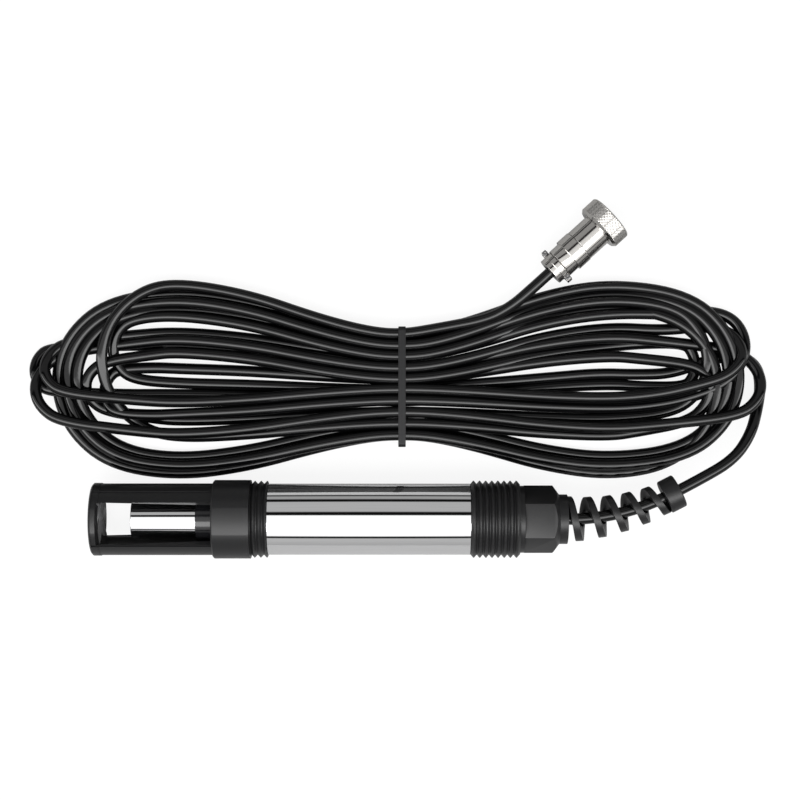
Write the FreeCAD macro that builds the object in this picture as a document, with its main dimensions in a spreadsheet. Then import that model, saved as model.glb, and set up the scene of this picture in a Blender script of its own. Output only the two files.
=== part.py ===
import FreeCAD, Part
import math
import os
import re
import Sketcher

# Optical dissolved oxygen sensor: a steel probe with a slotted guard, lying on its side with its
# cable tied in a hank beside it. Millimetres. X runs along the probe from the guard to the cable,
# Z is up, and the origin is on the axis in the middle of the rear thread.

doc = FreeCAD.newDocument("oxygen_sensor")
sheet = doc.addObject("Spreadsheet::Sheet", "Sizes")

SIZES = [
    ("thread_crest_radius", 13.35, "both process threads"),
    ("thread_root_radius", 12.35, "floor between two ridges"),
    ("thread_pitch", 2.12, "ridge to ridge"),
    ("thread_ridges", 8, "ridges on the rear fitting"),
    ("crest_flat", 0.25, "width of a rear ridge's crest"),
    ("valley_flat", 0.2, "width of the floor between ridges"),
    ("tube_length", 70.15, "steel tube between the fittings"),
    ("tube_radius", 12.3, "outside of the steel tube"),
    ("tube_wall", 1.2, "steel tube"),
    ("tube_edge", 0.25, "broken edges of the steel tube"),
    ("spigot_depth", 12.5, "each fitting's reach into the tube"),
    ("spigot_wall", 2.4, "each fitting's wall inside the tube"),
    ("fit_clearance", 0.05, "radial gap of glued and pressed plugs"),
    ("ring_section", 0.7, "radius of the round seals in the tube"),
    ("ring_nip", 0.03, "gap left between a seal and its wall"),
    ("front_thread_length", 5.87, "thread left bare in front of the tube"),
    ("front_crest_setback", 0.28, "last front ridge from the tube"),
    ("collar_radius", 13.6, "guard collar, the widest turned form"),
    ("collar_length", 13.0, "guard collar"),
    ("collar_edge", 0.5, "chamfer on the collar"),
    ("guard_radius", 12.4, "outside of the guard's bars"),
    ("guard_wall", 2.2, "thickness of the bars"),
    ("window_length", 38.9, "the two windows"),
    ("window_angle", 75, "arc that each window takes"),
    ("window_turn", 8.5, "windows turned from straight up"),
    ("end_ring_length", 2.9, "ring at the guard's open end"),
    ("end_ring_radius", 12.6, "outside of that ring"),
    ("end_ring_edge", 0.6, "chamfer on that ring"),
    ("cross_width", 1.2, "arms of the cross in the ring"),
    ("cross_depth", 1.2, "arms along the probe"),
    ("guard_clearance", 0.1, "guard bore around the fitting"),
    ("front_spigot_radius", 11.0, "fitting inside the guard"),
    ("front_spigot_length", 12.2, "fitting inside the guard"),
    ("seat_gap", 0.05, "between faces that screw together"),
    ("cap_radius", 7.1, "steel sensing cap"),
    ("cap_wall", 0.8, "steel sensing cap"),
    ("cap_length", 22.3, "steel sensing cap"),
    ("cap_lip", 0.6, "front rim that holds the film"),
    ("cap_opening_radius", 5.2, "open middle of the rim"),
    ("cap_clearance", 0.1, "cap bore around the head's nose"),
    ("film_depth", 0.4, "sensing film"),
    ("retainer_depth", 0.8, "ring behind the film"),
    ("head_ring_radius", 7.6, "black ring behind the cap"),
    ("head_ring_length", 6.5, "black ring behind the cap"),
    ("head_shank_radius", 6.0, "head inside the front fitting"),
    ("head_shank_length", 8.7, "head inside the front fitting"),
    ("head_seat_radius", 4.9, "seat of the window and the optics board"),
    ("head_bore_radius", 4.2, "bore behind the optics board"),
    ("head_seat_depth", 4.65, "nose front to the board's step"),
    ("cap_seal_section", 0.45, "radius of the cap's seal"),
    ("cap_seal_setback", 3.3, "cap's seal in front of the head ring"),
    ("window_depth", 2.0, "glass in the nose"),
    ("optics_board_depth", 1.0, "round board behind the glass"),
    ("lamp_radius", 0.9, "the two lamps"),
    ("lamp_height", 1.2, "the two lamps"),
    ("lamp_offset", 3.1, "lamps from the axis"),
    ("receiver_side", 2.6, "light receiver"),
    ("receiver_height", 0.7, "light receiver"),
    ("filter_height", 0.4, "coloured glass on the receiver"),
    ("probe_bead_radius", 0.8, "temperature bead"),
    ("probe_bead_length", 4.0, "temperature bead"),
    ("flex_half_width", 2.4, "ribbon from the round board"),
    ("flex_depth", 0.2, "ribbon"),
    ("board_edge_gap", 0.45, "long board's edges from the fittings' bore"),
    ("board_depth", 1.2, "long circuit board"),
    ("board_length", 71.5, "long circuit board"),
    ("board_setback", 1.5, "board behind the head's shank"),
    ("wire_radius", 0.4, "cores of the cable"),
    ("wire_spread", 0.9, "cores from the axis, sideways"),
    ("wire_landing", 4.0, "cores' ends on the long board"),
    ("shoulder_radius", 11.6, "round shoulder before the hexagon"),
    ("shoulder_length", 1.45, "round shoulder before the hexagon"),
    ("tail_radius", 7.4, "rear fitting inside the gland nut"),
    ("tail_length", 7.6, "rear fitting inside the gland nut"),
    ("seal_radius", 5.9, "rubber seal around the cable"),
    ("seal_length", 12.0, "rubber seal around the cable"),
    ("passage_radius", 4.5, "cable way through the rear fitting"),
    ("hex_flats", 20.3, "gland nut across its flats"),
    ("hex_length", 12.25, "gland nut"),
    ("hex_chamfer", 2.3, "gland nut's rear chamfer along the axis"),
    ("disc_radius", 8.6, "disc that the spiral springs from"),
    ("disc_length", 2.8, "that disc"),
    ("washer_depth", 0.9, "washer behind the seal"),
    ("cable_radius", 2.0, "round cable"),
    ("cable_clearance", 0.3, "gland's hole around the cable"),
    ("bend_radius", 80.2, "curve of the bend protector"),
    ("bend_angle", 27, "its turn towards the hank"),
    ("spiral_pitch", 7.4, "one turn along the curve"),
    ("spiral_width", 2.4, "strip along the curve"),
    ("spiral_bore", 2.75, "inside of the strip"),
    ("spiral_start_radius", 7.95, "outside of the strip at the disc"),
    ("spiral_end_radius", 5.45, "outside of the strip at the ring"),
    ("spiral_root", 0.8, "strip's length inside the disc"),
    ("spiral_tip", 1.44, "strip's length inside the end ring"),
    ("cuff_radius", 5.95, "ring at the protector's end"),
    ("cuff_length", 5.7, "that ring"),
    ("cuff_edge", 0.35, "chamfer of that ring"),
    ("lead_run", 44.0, "cable from the bend's corner to the next one"),
    ("tail_run", 11.0, "cable's last run, on the plug's axis"),
    ("hank_middle", -32.2, "tie along the probe's axis"),
    ("hank_waist", 9.2, "height of the hank under the tie"),
    ("dip_reach", 105.0, "half length of the dip down to the tie"),
    ("dip_rise", 0.5, "ends of the dip's arc above the hank"),
    ("hank_height", 14.0, "height of the hank at its loops"),
    ("hank_edge", 3.2, "hank drawn in at its top"),
    ("waist_near", 27.2, "hank under the tie, the side by the probe"),
    ("waist_far", 66.4, "hank under the tie, the far side"),
    ("tie_width", 2.6, "cable tie"),
    ("tie_depth", 1.2, "cable tie's strap"),
    ("tie_head", 2.0, "thicker side of the tie"),
    ("tie_corner", 1.6, "rounded corners of the tie"),
    ("plug_place_x", 19.62, "cable end of the plug"),
    ("plug_place_y", 85.97, "cable end of the plug"),
    ("plug_turn", 42.3, "plug's axis from the probe's"),
    ("clamp_radius", 4.95, "round clamp at the plug's cable end"),
    ("clamp_length", 4.1, "round clamp"),
    ("grip_radius", 3.25, "bore of the clamp"),
    ("ear_reach", 6.9, "clamp's ears from the axis"),
    ("ear_width", 2.1, "clamp's ears along the axis"),
    ("ear_height", 1.55, "one ear"),
    ("screw_radius", 0.6, "clamp screws"),
    ("screw_head_radius", 0.95, "clamp screws"),
    ("screw_head_height", 0.6, "clamp screws"),
    ("screw_place", 5.85, "clamp screws from the axis"),
    ("screw_slot", 0.25, "slot in each clamp screw"),
    ("neck_radius", 5.45, "narrow part of the plug's rear shell"),
    ("neck_length", 4.4, "narrow part of the plug's rear shell"),
    ("barrel_radius", 6.1, "wide part of the plug's rear shell"),
    ("barrel_length", 4.95, "wide part of the plug's rear shell"),
    ("shell_seam", 0.15, "open seam between the two shells"),
    ("shell_radius", 5.9, "plug's front shell"),
    ("shell_length", 14.0, "plug's front shell"),
    ("shell_wall", 0.9, "plug's front shell"),
    ("shell_spigot_length", 4.6, "front shell inside the rear one"),
    ("nut_radius", 8.65, "coupling nut"),
    ("nut_length", 6.6, "coupling nut"),
    ("nut_edge", 0.8, "coupling nut's rear chamfer"),
    ("nut_lip", 1.1, "coupling nut's inner rim"),
    ("nut_bore_radius", 6.95, "coupling nut's thread"),
    ("nut_clearance", 0.1, "running gap of the coupling nut"),
    ("flange_depth", 1.2, "front shell's flange in the nut"),
    ("mouth_setback", 1.2, "front shell's mouth behind the nut's"),
    ("insert_length", 7.0, "plug's insulator"),
    ("insert_setback", 1.4, "insulator behind the shell's mouth"),
    ("pin_radius", 0.6, "contacts"),
    ("pin_circle", 2.75, "contacts from the plug's axis"),
    ("pin_count", 4, "contacts"),
    ("pin_length", 11.0, "contacts"),
    ("cable_in_plug", 6.0, "cable's reach into the plug"),
]

for row, (word, number, note) in enumerate(SIZES, start=1):
    sheet.set(f"A{row}", word)
    sheet.set(f"B{row}", str(number))
    sheet.set(f"C{row}", note)
    sheet.setAlias(f"B{row}", word)
doc.recompute()
WORDS = {word for word, number, note in SIZES}


def bound(words):
    """An expression for the document, with the sheet's name before each size."""
    return re.sub(r"[a-z_]+", lambda m: ("Sizes." if m.group() in WORDS else "") + m.group(), str(words))


def value(words):
    """The number that an expression gives now."""
    return float(sheet.evalExpression(bound(words)))


def new_body(name):
    """An empty body whose label names the sub-part."""
    body = doc.addObject("PartDesign::Body", name)
    body.Label = name
    return body


def sketch_on(body, role, away="0"):
    """A sketch on one of the body's own origin planes, moved along the plane's normal."""
    sketch = body.newObject("Sketcher::SketchObject", body.Name + "_sketch")
    plane = next(feature for feature in body.Origin.OriginFeatures if feature.Role == role)
    sketch.AttachmentSupport = [(plane, "")]
    sketch.MapMode = "FlatFace"
    sketch.setExpression("AttachmentOffset.Base.z", bound(away))
    return sketch


def outline(sketch, corners):
    """A closed outline of straight lines through corners given as pairs of expressions."""
    points = [FreeCAD.Vector(value(across), value(up), 0) for across, up in corners]
    first = sketch.GeometryCount
    count = len(points)
    for place in range(count):
        sketch.addGeometry(Part.LineSegment(points[place], points[(place + 1) % count]), False)
    for place in range(count):
        following = first + (place + 1) % count
        sketch.addConstraint(Sketcher.Constraint("Coincident", first + place, 2, following, 1))
    for place, pair in enumerate(corners):
        for kind, words in zip(("DistanceX", "DistanceY"), pair):
            number = sketch.addConstraint(Sketcher.Constraint(kind, -1, 1, first + place, 1, value(words)))
            sketch.setExpression(f"Constraints[{number}]", bound(words))


def round_outline(sketch, across, up, radius):
    """A circle given by expressions for its centre and radius."""
    centre = FreeCAD.Vector(value(across), value(up), 0)
    circle = sketch.addGeometry(Part.Circle(centre, FreeCAD.Vector(0, 0, 1), value(radius)), False)
    for kind, words in (("DistanceX", across), ("DistanceY", up)):
        number = sketch.addConstraint(Sketcher.Constraint(kind, -1, 1, circle, 3, value(words)))
        sketch.setExpression(f"Constraints[{number}]", bound(words))
    number = sketch.addConstraint(Sketcher.Constraint("Radius", circle, value(radius)))
    sketch.setExpression(f"Constraints[{number}]", bound(radius))


def turned(name, corners):
    """A body turned about X from a profile of (along, radius) corners."""
    body = new_body(name)
    sketch = sketch_on(body, "XY_Plane")
    outline(sketch, corners)
    feature = body.newObject("PartDesign::Revolution", name + "_turning")
    feature.Profile = sketch
    feature.ReferenceAxis = (sketch, ["H_Axis"])
    feature.Angle = 360
    sketch.Visibility = False
    doc.recompute()
    return body


def pad(body, sketch, length, backwards=False):
    """Material added along the sketch's normal."""
    feature = body.newObject("PartDesign::Pad", sketch.Name + "_pad")
    feature.Profile = sketch
    feature.setExpression("Length", bound(length))
    feature.Reversed = backwards
    doc.recompute()
    return feature


def pocket(body, sketch, length, along_normal=True):
    """Material cut away, with a check that the cut removed something."""
    before = body.Shape.Volume
    feature = body.newObject("PartDesign::Pocket", sketch.Name + "_pocket")
    feature.Profile = sketch
    feature.setExpression("Length", bound(length))
    feature.Reversed = along_normal
    doc.recompute()
    if body.Shape.Volume > before - 1e-6:
        raise RuntimeError(f"{feature.Name} cut nothing")
    return feature


def place(piece, along, across="0", up="0"):
    """Bind a piece's place to the sheet."""
    piece.setExpression("Placement.Base.x", bound(along))
    piece.setExpression("Placement.Base.y", bound(across))
    piece.setExpression("Placement.Base.z", bound(up))


ALONG_X = FreeCAD.Rotation(FreeCAD.Vector(0, 1, 0), 90)


def rod(name, along, radius, length, across="0", up="0"):
    """A plain cylinder lying along X."""
    piece = doc.addObject("Part::Cylinder", name)
    piece.Label = name
    piece.setExpression("Radius", bound(radius))
    piece.setExpression("Height", bound(length))
    piece.Placement = FreeCAD.Placement(FreeCAD.Vector(), ALONG_X)
    place(piece, along, across, up)
    return piece


def block(name, corner, size):
    """A box from its low corner and its size, both as expressions."""
    piece = doc.addObject("Part::Box", name)
    piece.Label = name
    for side, words in zip(("Length", "Width", "Height"), size):
        piece.setExpression(side, bound(words))
    place(piece, *corner)
    return piece


def seal_ring(name, along, middle_radius, section):
    """A round rubber ring about X."""
    ring = doc.addObject("Part::Torus", name)
    ring.Label = name
    ring.setExpression("Radius1", bound(middle_radius))
    ring.setExpression("Radius2", bound(section))
    ring.Placement = FreeCAD.Placement(FreeCAD.Vector(), ALONG_X)
    place(ring, along)
    return ring


def group(name, pieces):
    """Separate like solids under one name."""
    compound = doc.addObject("Part::Compound", name)
    compound.Label = name
    compound.Links = pieces
    return compound


# Places along the probe, each worked out from the lengths before it.
thread_front = "(-thread_ridges * thread_pitch / 2)"
thread_rear = "(thread_ridges * thread_pitch / 2)"
tube_front = f"({thread_front} - tube_length)"
collar_rear = f"({tube_front} - front_thread_length)"
collar_front = f"({collar_rear} - collar_length)"
window_front = f"({collar_front} - window_length)"
guard_front = f"({window_front} - end_ring_length)"
spigot_front = f"({collar_rear} - front_spigot_length)"
head_ring_front = f"({spigot_front} - head_ring_length)"
cap_rear = f"({head_ring_front} - seat_gap)"
cap_front = f"({cap_rear} - cap_length)"
film_front = f"({cap_front} + cap_lip)"
retainer_front = f"({film_front} + film_depth)"
nose_front = f"({retainer_front} + retainer_depth + cap_clearance)"
board_step = f"({nose_front} + head_seat_depth)"
shank_rear = f"({spigot_front} + head_shank_length)"
shoulder_rear = f"({thread_rear} + shoulder_length)"
tail_rear = f"({shoulder_rear} + tail_length)"
hex_rear = f"({shoulder_rear} + hex_length)"
disc_rear = f"({hex_rear} + disc_length)"
floor_level = "(-collar_radius)"
tube_bore = "(tube_radius - tube_wall)"
plug_spigot = f"({tube_bore} - fit_clearance)"
spigot_bore = f"({plug_spigot} - spigot_wall)"
gland_hole = "(cable_radius + cable_clearance)"
board_half_width = f"({spigot_bore} - board_edge_gap)"


def ridge(middle, flat):
    """Four corners of one thread ridge about its middle."""
    foot = "(thread_pitch - valley_flat) / 2"
    return [
        (f"({middle} - {foot})", "thread_root_radius"),
        (f"({middle} - {flat} / 2)", "thread_crest_radius"),
        (f"({middle} + {flat} / 2)", "thread_crest_radius"),
        (f"({middle} + {foot})", "thread_root_radius"),
    ]


def ring_groove(middle, wall_radius):
    """Four corners of a seal's groove sunk into a spigot."""
    depth = f"({wall_radius} + fit_clearance - ring_nip * 2 - ring_section * 2)"
    half = "(ring_section + ring_nip)"
    return [
        (f"({middle} - {half})", wall_radius),
        (f"({middle} - {half})", depth),
        (f"({middle} + {half})", depth),
        (f"({middle} + {half})", wall_radius),
    ]


# The guard is one black moulding: a collar that goes over the front fitting, two bars with two
# windows between them, and an end ring with a cross in it.
def make_guard():
    inner = "(guard_radius - guard_wall)"
    bore = "(front_spigot_radius + guard_clearance)"
    step = f"({spigot_front} - seat_gap)"
    body = turned(
        "guard",
        [
            (guard_front, inner),
            (guard_front, "end_ring_radius - end_ring_edge"),
            (f"{guard_front} + end_ring_edge", "end_ring_radius"),
            (window_front, "end_ring_radius"),
            (window_front, "guard_radius"),
            (collar_front, "guard_radius"),
            (collar_front, "collar_radius - collar_edge"),
            (f"{collar_front} + collar_edge", "collar_radius"),
            (f"{collar_rear} - seat_gap", "collar_radius"),
            (f"{collar_rear} - seat_gap", bore),
            (step, bore),
            (step, inner),
        ],
    )
    windows = sketch_on(body, "YZ_Plane", window_front)
    windows.setExpression("AttachmentOffset.Rotation.Angle", bound("window_turn"))
    near = f"({inner} / 2)"
    far = "(end_ring_radius * 1.1)"
    for side in (1, -1):
        outline(
            windows,
            [
                (f"-{near} * tan(window_angle / 2)", f"{side} * {near}"),
                (f"-{far} * tan(window_angle / 2)", f"{side} * {far}"),
                (f"{far} * tan(window_angle / 2)", f"{side} * {far}"),
                (f"{near} * tan(window_angle / 2)", f"{side} * {near}"),
            ],
        )
    pocket(body, windows, "window_length")
    cross = sketch_on(body, "YZ_Plane", f"{window_front} - cross_depth")
    cross.setExpression("AttachmentOffset.Rotation.Angle", bound("window_turn + 45"))
    half = "(cross_width / 2)"
    tip = f"({inner} + guard_wall / 4)"
    outline(
        cross,
        [
            (half, half), (half, tip), (f"-{half}", tip), (f"-{half}", half),
            (f"-{tip}", half), (f"-{tip}", f"-{half}"), (f"-{half}", f"-{half}"),
            (f"-{half}", f"-{tip}"), (half, f"-{tip}"), (half, f"-{half}"),
            (tip, f"-{half}"), (tip, half),
        ],
    )
    pad(body, cross, "cross_depth")
    return body


# The sensing cap is a polished steel sleeve that screws over the head's nose. Its rim holds the
# coloured film, with a ring behind it.
def make_cap():
    bore = "(cap_radius - cap_wall)"
    soft = "(cap_wall / 4)"
    cap = turned(
        "sensing_cap",
        [
            (cap_front, "cap_opening_radius"),
            (cap_front, f"cap_radius - {soft}"),
            (f"{cap_front} + {soft}", "cap_radius"),
            (cap_rear, "cap_radius"),
            (cap_rear, bore),
            (film_front, bore),
            (film_front, "cap_opening_radius"),
        ],
    )
    film = rod("sensing_film", film_front, f"{bore} - fit_clearance", "film_depth")
    retainer = turned(
        "film_retainer",
        [
            (retainer_front, "cap_opening_radius"),
            (retainer_front, f"{bore} - fit_clearance"),
            (f"{retainer_front} + retainer_depth", f"{bore} - fit_clearance"),
            (f"{retainer_front} + retainer_depth", "cap_opening_radius"),
        ],
    )
    return [cap, film, retainer]


# The sensor head is a black turned plug: a nose for the cap, a wide ring, and a shank that is
# glued into the front fitting.
def make_head():
    nose = "(cap_radius - cap_wall - cap_clearance)"
    seal_place = f"({head_ring_front} - cap_seal_setback)"
    half = "(cap_seal_section + ring_nip)"
    groove = f"({nose} + cap_clearance - ring_nip * 2 - cap_seal_section * 2)"
    head = turned(
        "sensor_head",
        [
            (nose_front, "head_seat_radius"),
            (nose_front, nose),
            (f"{seal_place} - {half}", nose),
            (f"{seal_place} - {half}", groove),
            (f"{seal_place} + {half}", groove),
            (f"{seal_place} + {half}", nose),
            (head_ring_front, nose),
            (head_ring_front, "head_ring_radius"),
            (spigot_front, "head_ring_radius"),
            (spigot_front, "head_shank_radius"),
            (shank_rear, "head_shank_radius"),
            (shank_rear, "head_bore_radius"),
            (board_step, "head_bore_radius"),
            (board_step, "head_seat_radius"),
        ],
    )
    seal = seal_ring("cap_seal", seal_place, f"{groove} + cap_seal_section + ring_nip", "cap_seal_section")
    return [head, seal]


# Behind the glass sit the round board with two lamps, the light receiver under its filter, and the
# temperature bead. A ribbon takes their signals to the long board.
def make_optics():
    seat = "(head_seat_radius - fit_clearance)"
    glass = rod("optical_window", nose_front, seat, "window_depth")
    board_front = f"({board_step} - optics_board_depth)"
    board = rod("optics_board", board_front, seat, "optics_board_depth")
    pieces = [glass, board]
    for name, side in (("blue_lamp", 1), ("red_lamp", -1)):
        lamp_front = f"({board_front} - lamp_height)"
        blank = rod(name + "_blank", lamp_front, "lamp_radius", "lamp_height", f"{side} * lamp_offset")
        doc.recompute()
        rim = min(range(len(blank.Shape.Edges)), key=lambda n: blank.Shape.Edges[n].CenterOfMass.x)
        lamp = doc.addObject("Part::Fillet", name)
        lamp.Label = name
        lamp.Base = blank
        soft = value("lamp_radius") * 0.8
        lamp.Edges = [(rim + 1, soft, soft)]
        pieces.append(lamp)
    side = "receiver_side"
    low = f"-{side} / 2"
    receiver_front = f"({board_front} - receiver_height)"
    pieces.append(block("light_receiver", (receiver_front, low, low), ("receiver_height", side, side)))
    pieces.append(
        block("colour_filter", (f"{receiver_front} - filter_height", low, low), ("filter_height", side, side))
    )
    bead_front = f"({board_step} + probe_bead_length)"
    bead_up = "-(head_bore_radius - probe_bead_radius - fit_clearance)"
    pieces.append(rod("temperature_bead", bead_front, "probe_bead_radius", "probe_bead_length", "0", bead_up))
    board_start = f"({shank_rear} + board_setback)"
    pieces.append(
        block(
            "sensor_ribbon",
            (board_step, "-flex_half_width", "board_depth / 2"),
            (f"{board_start} - {board_step} + flex_half_width * 2", "flex_half_width * 2", "flex_depth"),
        )
    )
    return pieces


# Both fittings are black mouldings with a ridged thread and a spigot that plugs into the tube.
def make_front_fitting():
    ridges = []
    last = f"({tube_front} - front_crest_setback)"
    for step in (2, 1):
        corners = ridge(f"({last} - {step} * thread_pitch)", "valley_flat")
        ridges += [corners[0], (f"{last} - {step} * thread_pitch", "thread_crest_radius"), corners[3]]
    first_foot = ridge(last, "valley_flat")[0]
    ridges += [first_foot, (last, "thread_crest_radius")]
    slope = "(thread_crest_radius - thread_root_radius) / ((thread_pitch - valley_flat) / 2)"
    end = f"({tube_front} + spigot_depth)"
    groove_place = f"({tube_front} + spigot_depth / 2)"
    fitting = turned(
        "front_fitting",
        [(spigot_front, "head_shank_radius + fit_clearance"), (spigot_front, "front_spigot_radius"),
         (collar_rear, "front_spigot_radius"), (collar_rear, "thread_root_radius")]
        + ridges
        + [(tube_front, f"thread_crest_radius - front_crest_setback * {slope}"), (tube_front, plug_spigot)]
        + ring_groove(groove_place, plug_spigot)
        + [(end, plug_spigot), (end, spigot_bore), (f"{shank_rear} + fit_clearance", spigot_bore),
           (f"{shank_rear} + fit_clearance", "head_shank_radius + fit_clearance")],
    )
    seal = seal_ring("front_seal", groove_place, f"{tube_bore} - ring_nip - ring_section", "ring_section")
    return [fitting, seal]


def make_rear_fitting():
    ridges = []
    for step in range(int(value("thread_ridges"))):
        ridges += ridge(f"({thread_front} + ({step} + 0.5) * thread_pitch)", "crest_flat")
    end = f"({thread_front} - spigot_depth)"
    groove_place = f"({thread_front} - spigot_depth / 2)"
    pocket_radius = "(seal_radius + fit_clearance)"
    pocket_front = f"({tail_rear} - seal_length - seat_gap)"
    passage_front = f"({pocket_front} - seal_radius)"
    fitting = turned(
        "rear_fitting",
        [(end, spigot_bore), (end, plug_spigot)]
        + ring_groove(groove_place, plug_spigot)
        + [(thread_front, plug_spigot), (thread_front, "thread_root_radius")]
        + ridges
        + [(thread_rear, "thread_root_radius"), (thread_rear, "shoulder_radius"),
           (shoulder_rear, "shoulder_radius"), (shoulder_rear, "tail_radius"), (tail_rear, "tail_radius"),
           (tail_rear, pocket_radius), (pocket_front, pocket_radius), (pocket_front, "passage_radius"),
           (passage_front, "passage_radius"), (passage_front, spigot_bore)],
    )
    seal = seal_ring("rear_seal", groove_place, f"{tube_bore} - ring_nip - ring_section", "ring_section")
    return [fitting, seal]


# The body tube is drawn and polished stainless steel, with broken edges.
def make_tube():
    return turned(
        "body_tube",
        [
            (tube_front, tube_bore),
            (tube_front, "tube_radius - tube_edge"),
            (f"{tube_front} + tube_edge", "tube_radius"),
            (f"{thread_front} - tube_edge", "tube_radius"),
            (thread_front, "tube_radius - tube_edge"),
            (thread_front, tube_bore),
        ],
    )


# The long board carries the chips and capacitors, and the cable's four cores end on it.
def make_electronics():
    start = f"({shank_rear} + board_setback)"
    half_depth = "(board_depth / 2)"
    board = block(
        "circuit_board",
        (start, f"-{board_half_width}", f"-{half_depth}"),
        ("board_length", f"{board_half_width} * 2", "board_depth"),
    )
    # Places along the board are shares of its length, and places across it and sizes are shares of
    # its half width.
    chips = []
    for along, across, length, width, height in (
        (0.22, -0.43, 0.85, 0.85, 0.17),
        (0.45, -0.3, 0.6, 0.6, 0.15),
        (0.59, 0.12, 0.78, 0.5, 0.18),
        (0.77, -0.67, 0.5, 0.6, 0.2),
    ):
        corner = (f"{start} + {along} * board_length", f"{across} * {board_half_width}", half_depth)
        size = [f"{side} * {board_half_width}" for side in (length, width, height)]
        chips.append(block(f"chip_{len(chips)}", corner, size))
    cans = []
    for along, across, radius, height in (
        (0.38, 0.51, 0.19, 0.41),
        (0.38, -0.51, 0.19, 0.41),
        (0.72, 0.49, 0.24, 0.51),
    ):
        can = doc.addObject("Part::Cylinder", f"can_{len(cans)}")
        can.setExpression("Radius", bound(f"{radius} * {board_half_width}"))
        can.setExpression("Height", bound(f"{height} * {board_half_width}"))
        place(can, f"{start} + {along} * board_length", f"{across} * {board_half_width}", half_depth)
        cans.append(can)
    wires = []
    up = f"({half_depth} + wire_radius)"
    wire_front = f"({start} + board_length - wire_landing)"
    length = f"({cable_start} - {wire_front})"
    for side in (1, -1):
        for face in (1, -1):
            spot = (f"{side} * wire_spread", f"{face} * {up}")
            wires.append(rod(f"core_{len(wires)}", wire_front, "wire_radius", length, *spot))
    chips = group("board_chips", chips)
    cans = group("board_capacitors", cans)
    return [board, chips, cans, group("cable_cores", wires)]


# The cable leaves the gland along this route, which is chosen by hand. It runs straight in the
# gland, bends with the protector, comes down to the floor and goes under the hank's end loops.
# The protector's bend is the first corner: its two arms are as long as the arc needs. A corner's
# arc takes this share of the shorter run beside it, on each side.
ARM_SHARE = 0.45
bend_arm = "(bend_radius * tan(bend_angle / 2))"
cable_start = f"({disc_rear} + {bend_arm} - {bend_arm} / {ARM_SHARE})"
bend_point = f"({disc_rear} + {bend_arm})"
LEAD_ROUTE = [
    (value(cable_start), 0, 0),
    (value(bend_point), 0, 0),
    (value(f"{bend_point} + lead_run * cos(bend_angle)"), value("lead_run * sin(bend_angle)"), 0),
    (93.6, 38.5, -9.0),
    (91.0, 59.0, -11.6),
]
# The cable's other end leaves the far side of the hank beside the tie. Its last run lies on the
# plug's axis.
TAIL_ROUTE = [
    (-18.0, 66.7, -8.0),
    (-2.0, 69.5, -8.0),
]


def cable_tube(name, route):
    """A round tube along straight runs joined by tangent arcs as large as the runs allow."""
    points = [FreeCAD.Vector(*point) for point in route]
    radius = value("cable_radius")
    edges = []
    start = points[0]
    for before, corner, after in zip(points, points[1:], points[2:]):
        inward = (corner - before).normalize()
        outward = (after - corner).normalize()
        turn = inward.getAngle(outward)
        arm = ARM_SHARE * min((corner - before).Length, (after - corner).Length)
        bend = arm / math.tan(turn / 2)
        print(f"{name}: turn {math.degrees(turn):.0f} degrees, radius {bend:.1f} mm")
        entry = corner - inward * arm
        leave = corner + outward * arm
        bisector = (outward - inward).normalize()
        middle = corner + bisector * (bend / math.cos(turn / 2) - bend)
        edges.append(Part.LineSegment(start, entry).toShape())
        edges.append(Part.Arc(entry, middle, leave).toShape())
        start = leave
    edges.append(Part.LineSegment(start, points[-1]).toShape())
    path = Part.Wire(edges)
    direction = points[1] - points[0]
    section = Part.Wire(Part.makeCircle(radius, points[0], direction))
    tube = path.makePipeShell([section], True, False)
    expected = math.pi * radius**2 * path.Length
    if abs(tube.Volume / expected - 1) > 0.005:
        raise RuntimeError(f"{name} has volume {tube.Volume}, not {expected}")
    piece = doc.addObject("Part::Feature", name)
    piece.Label = name
    piece.Shape = tube
    piece.Placement = FreeCAD.Placement()
    return piece


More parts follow.
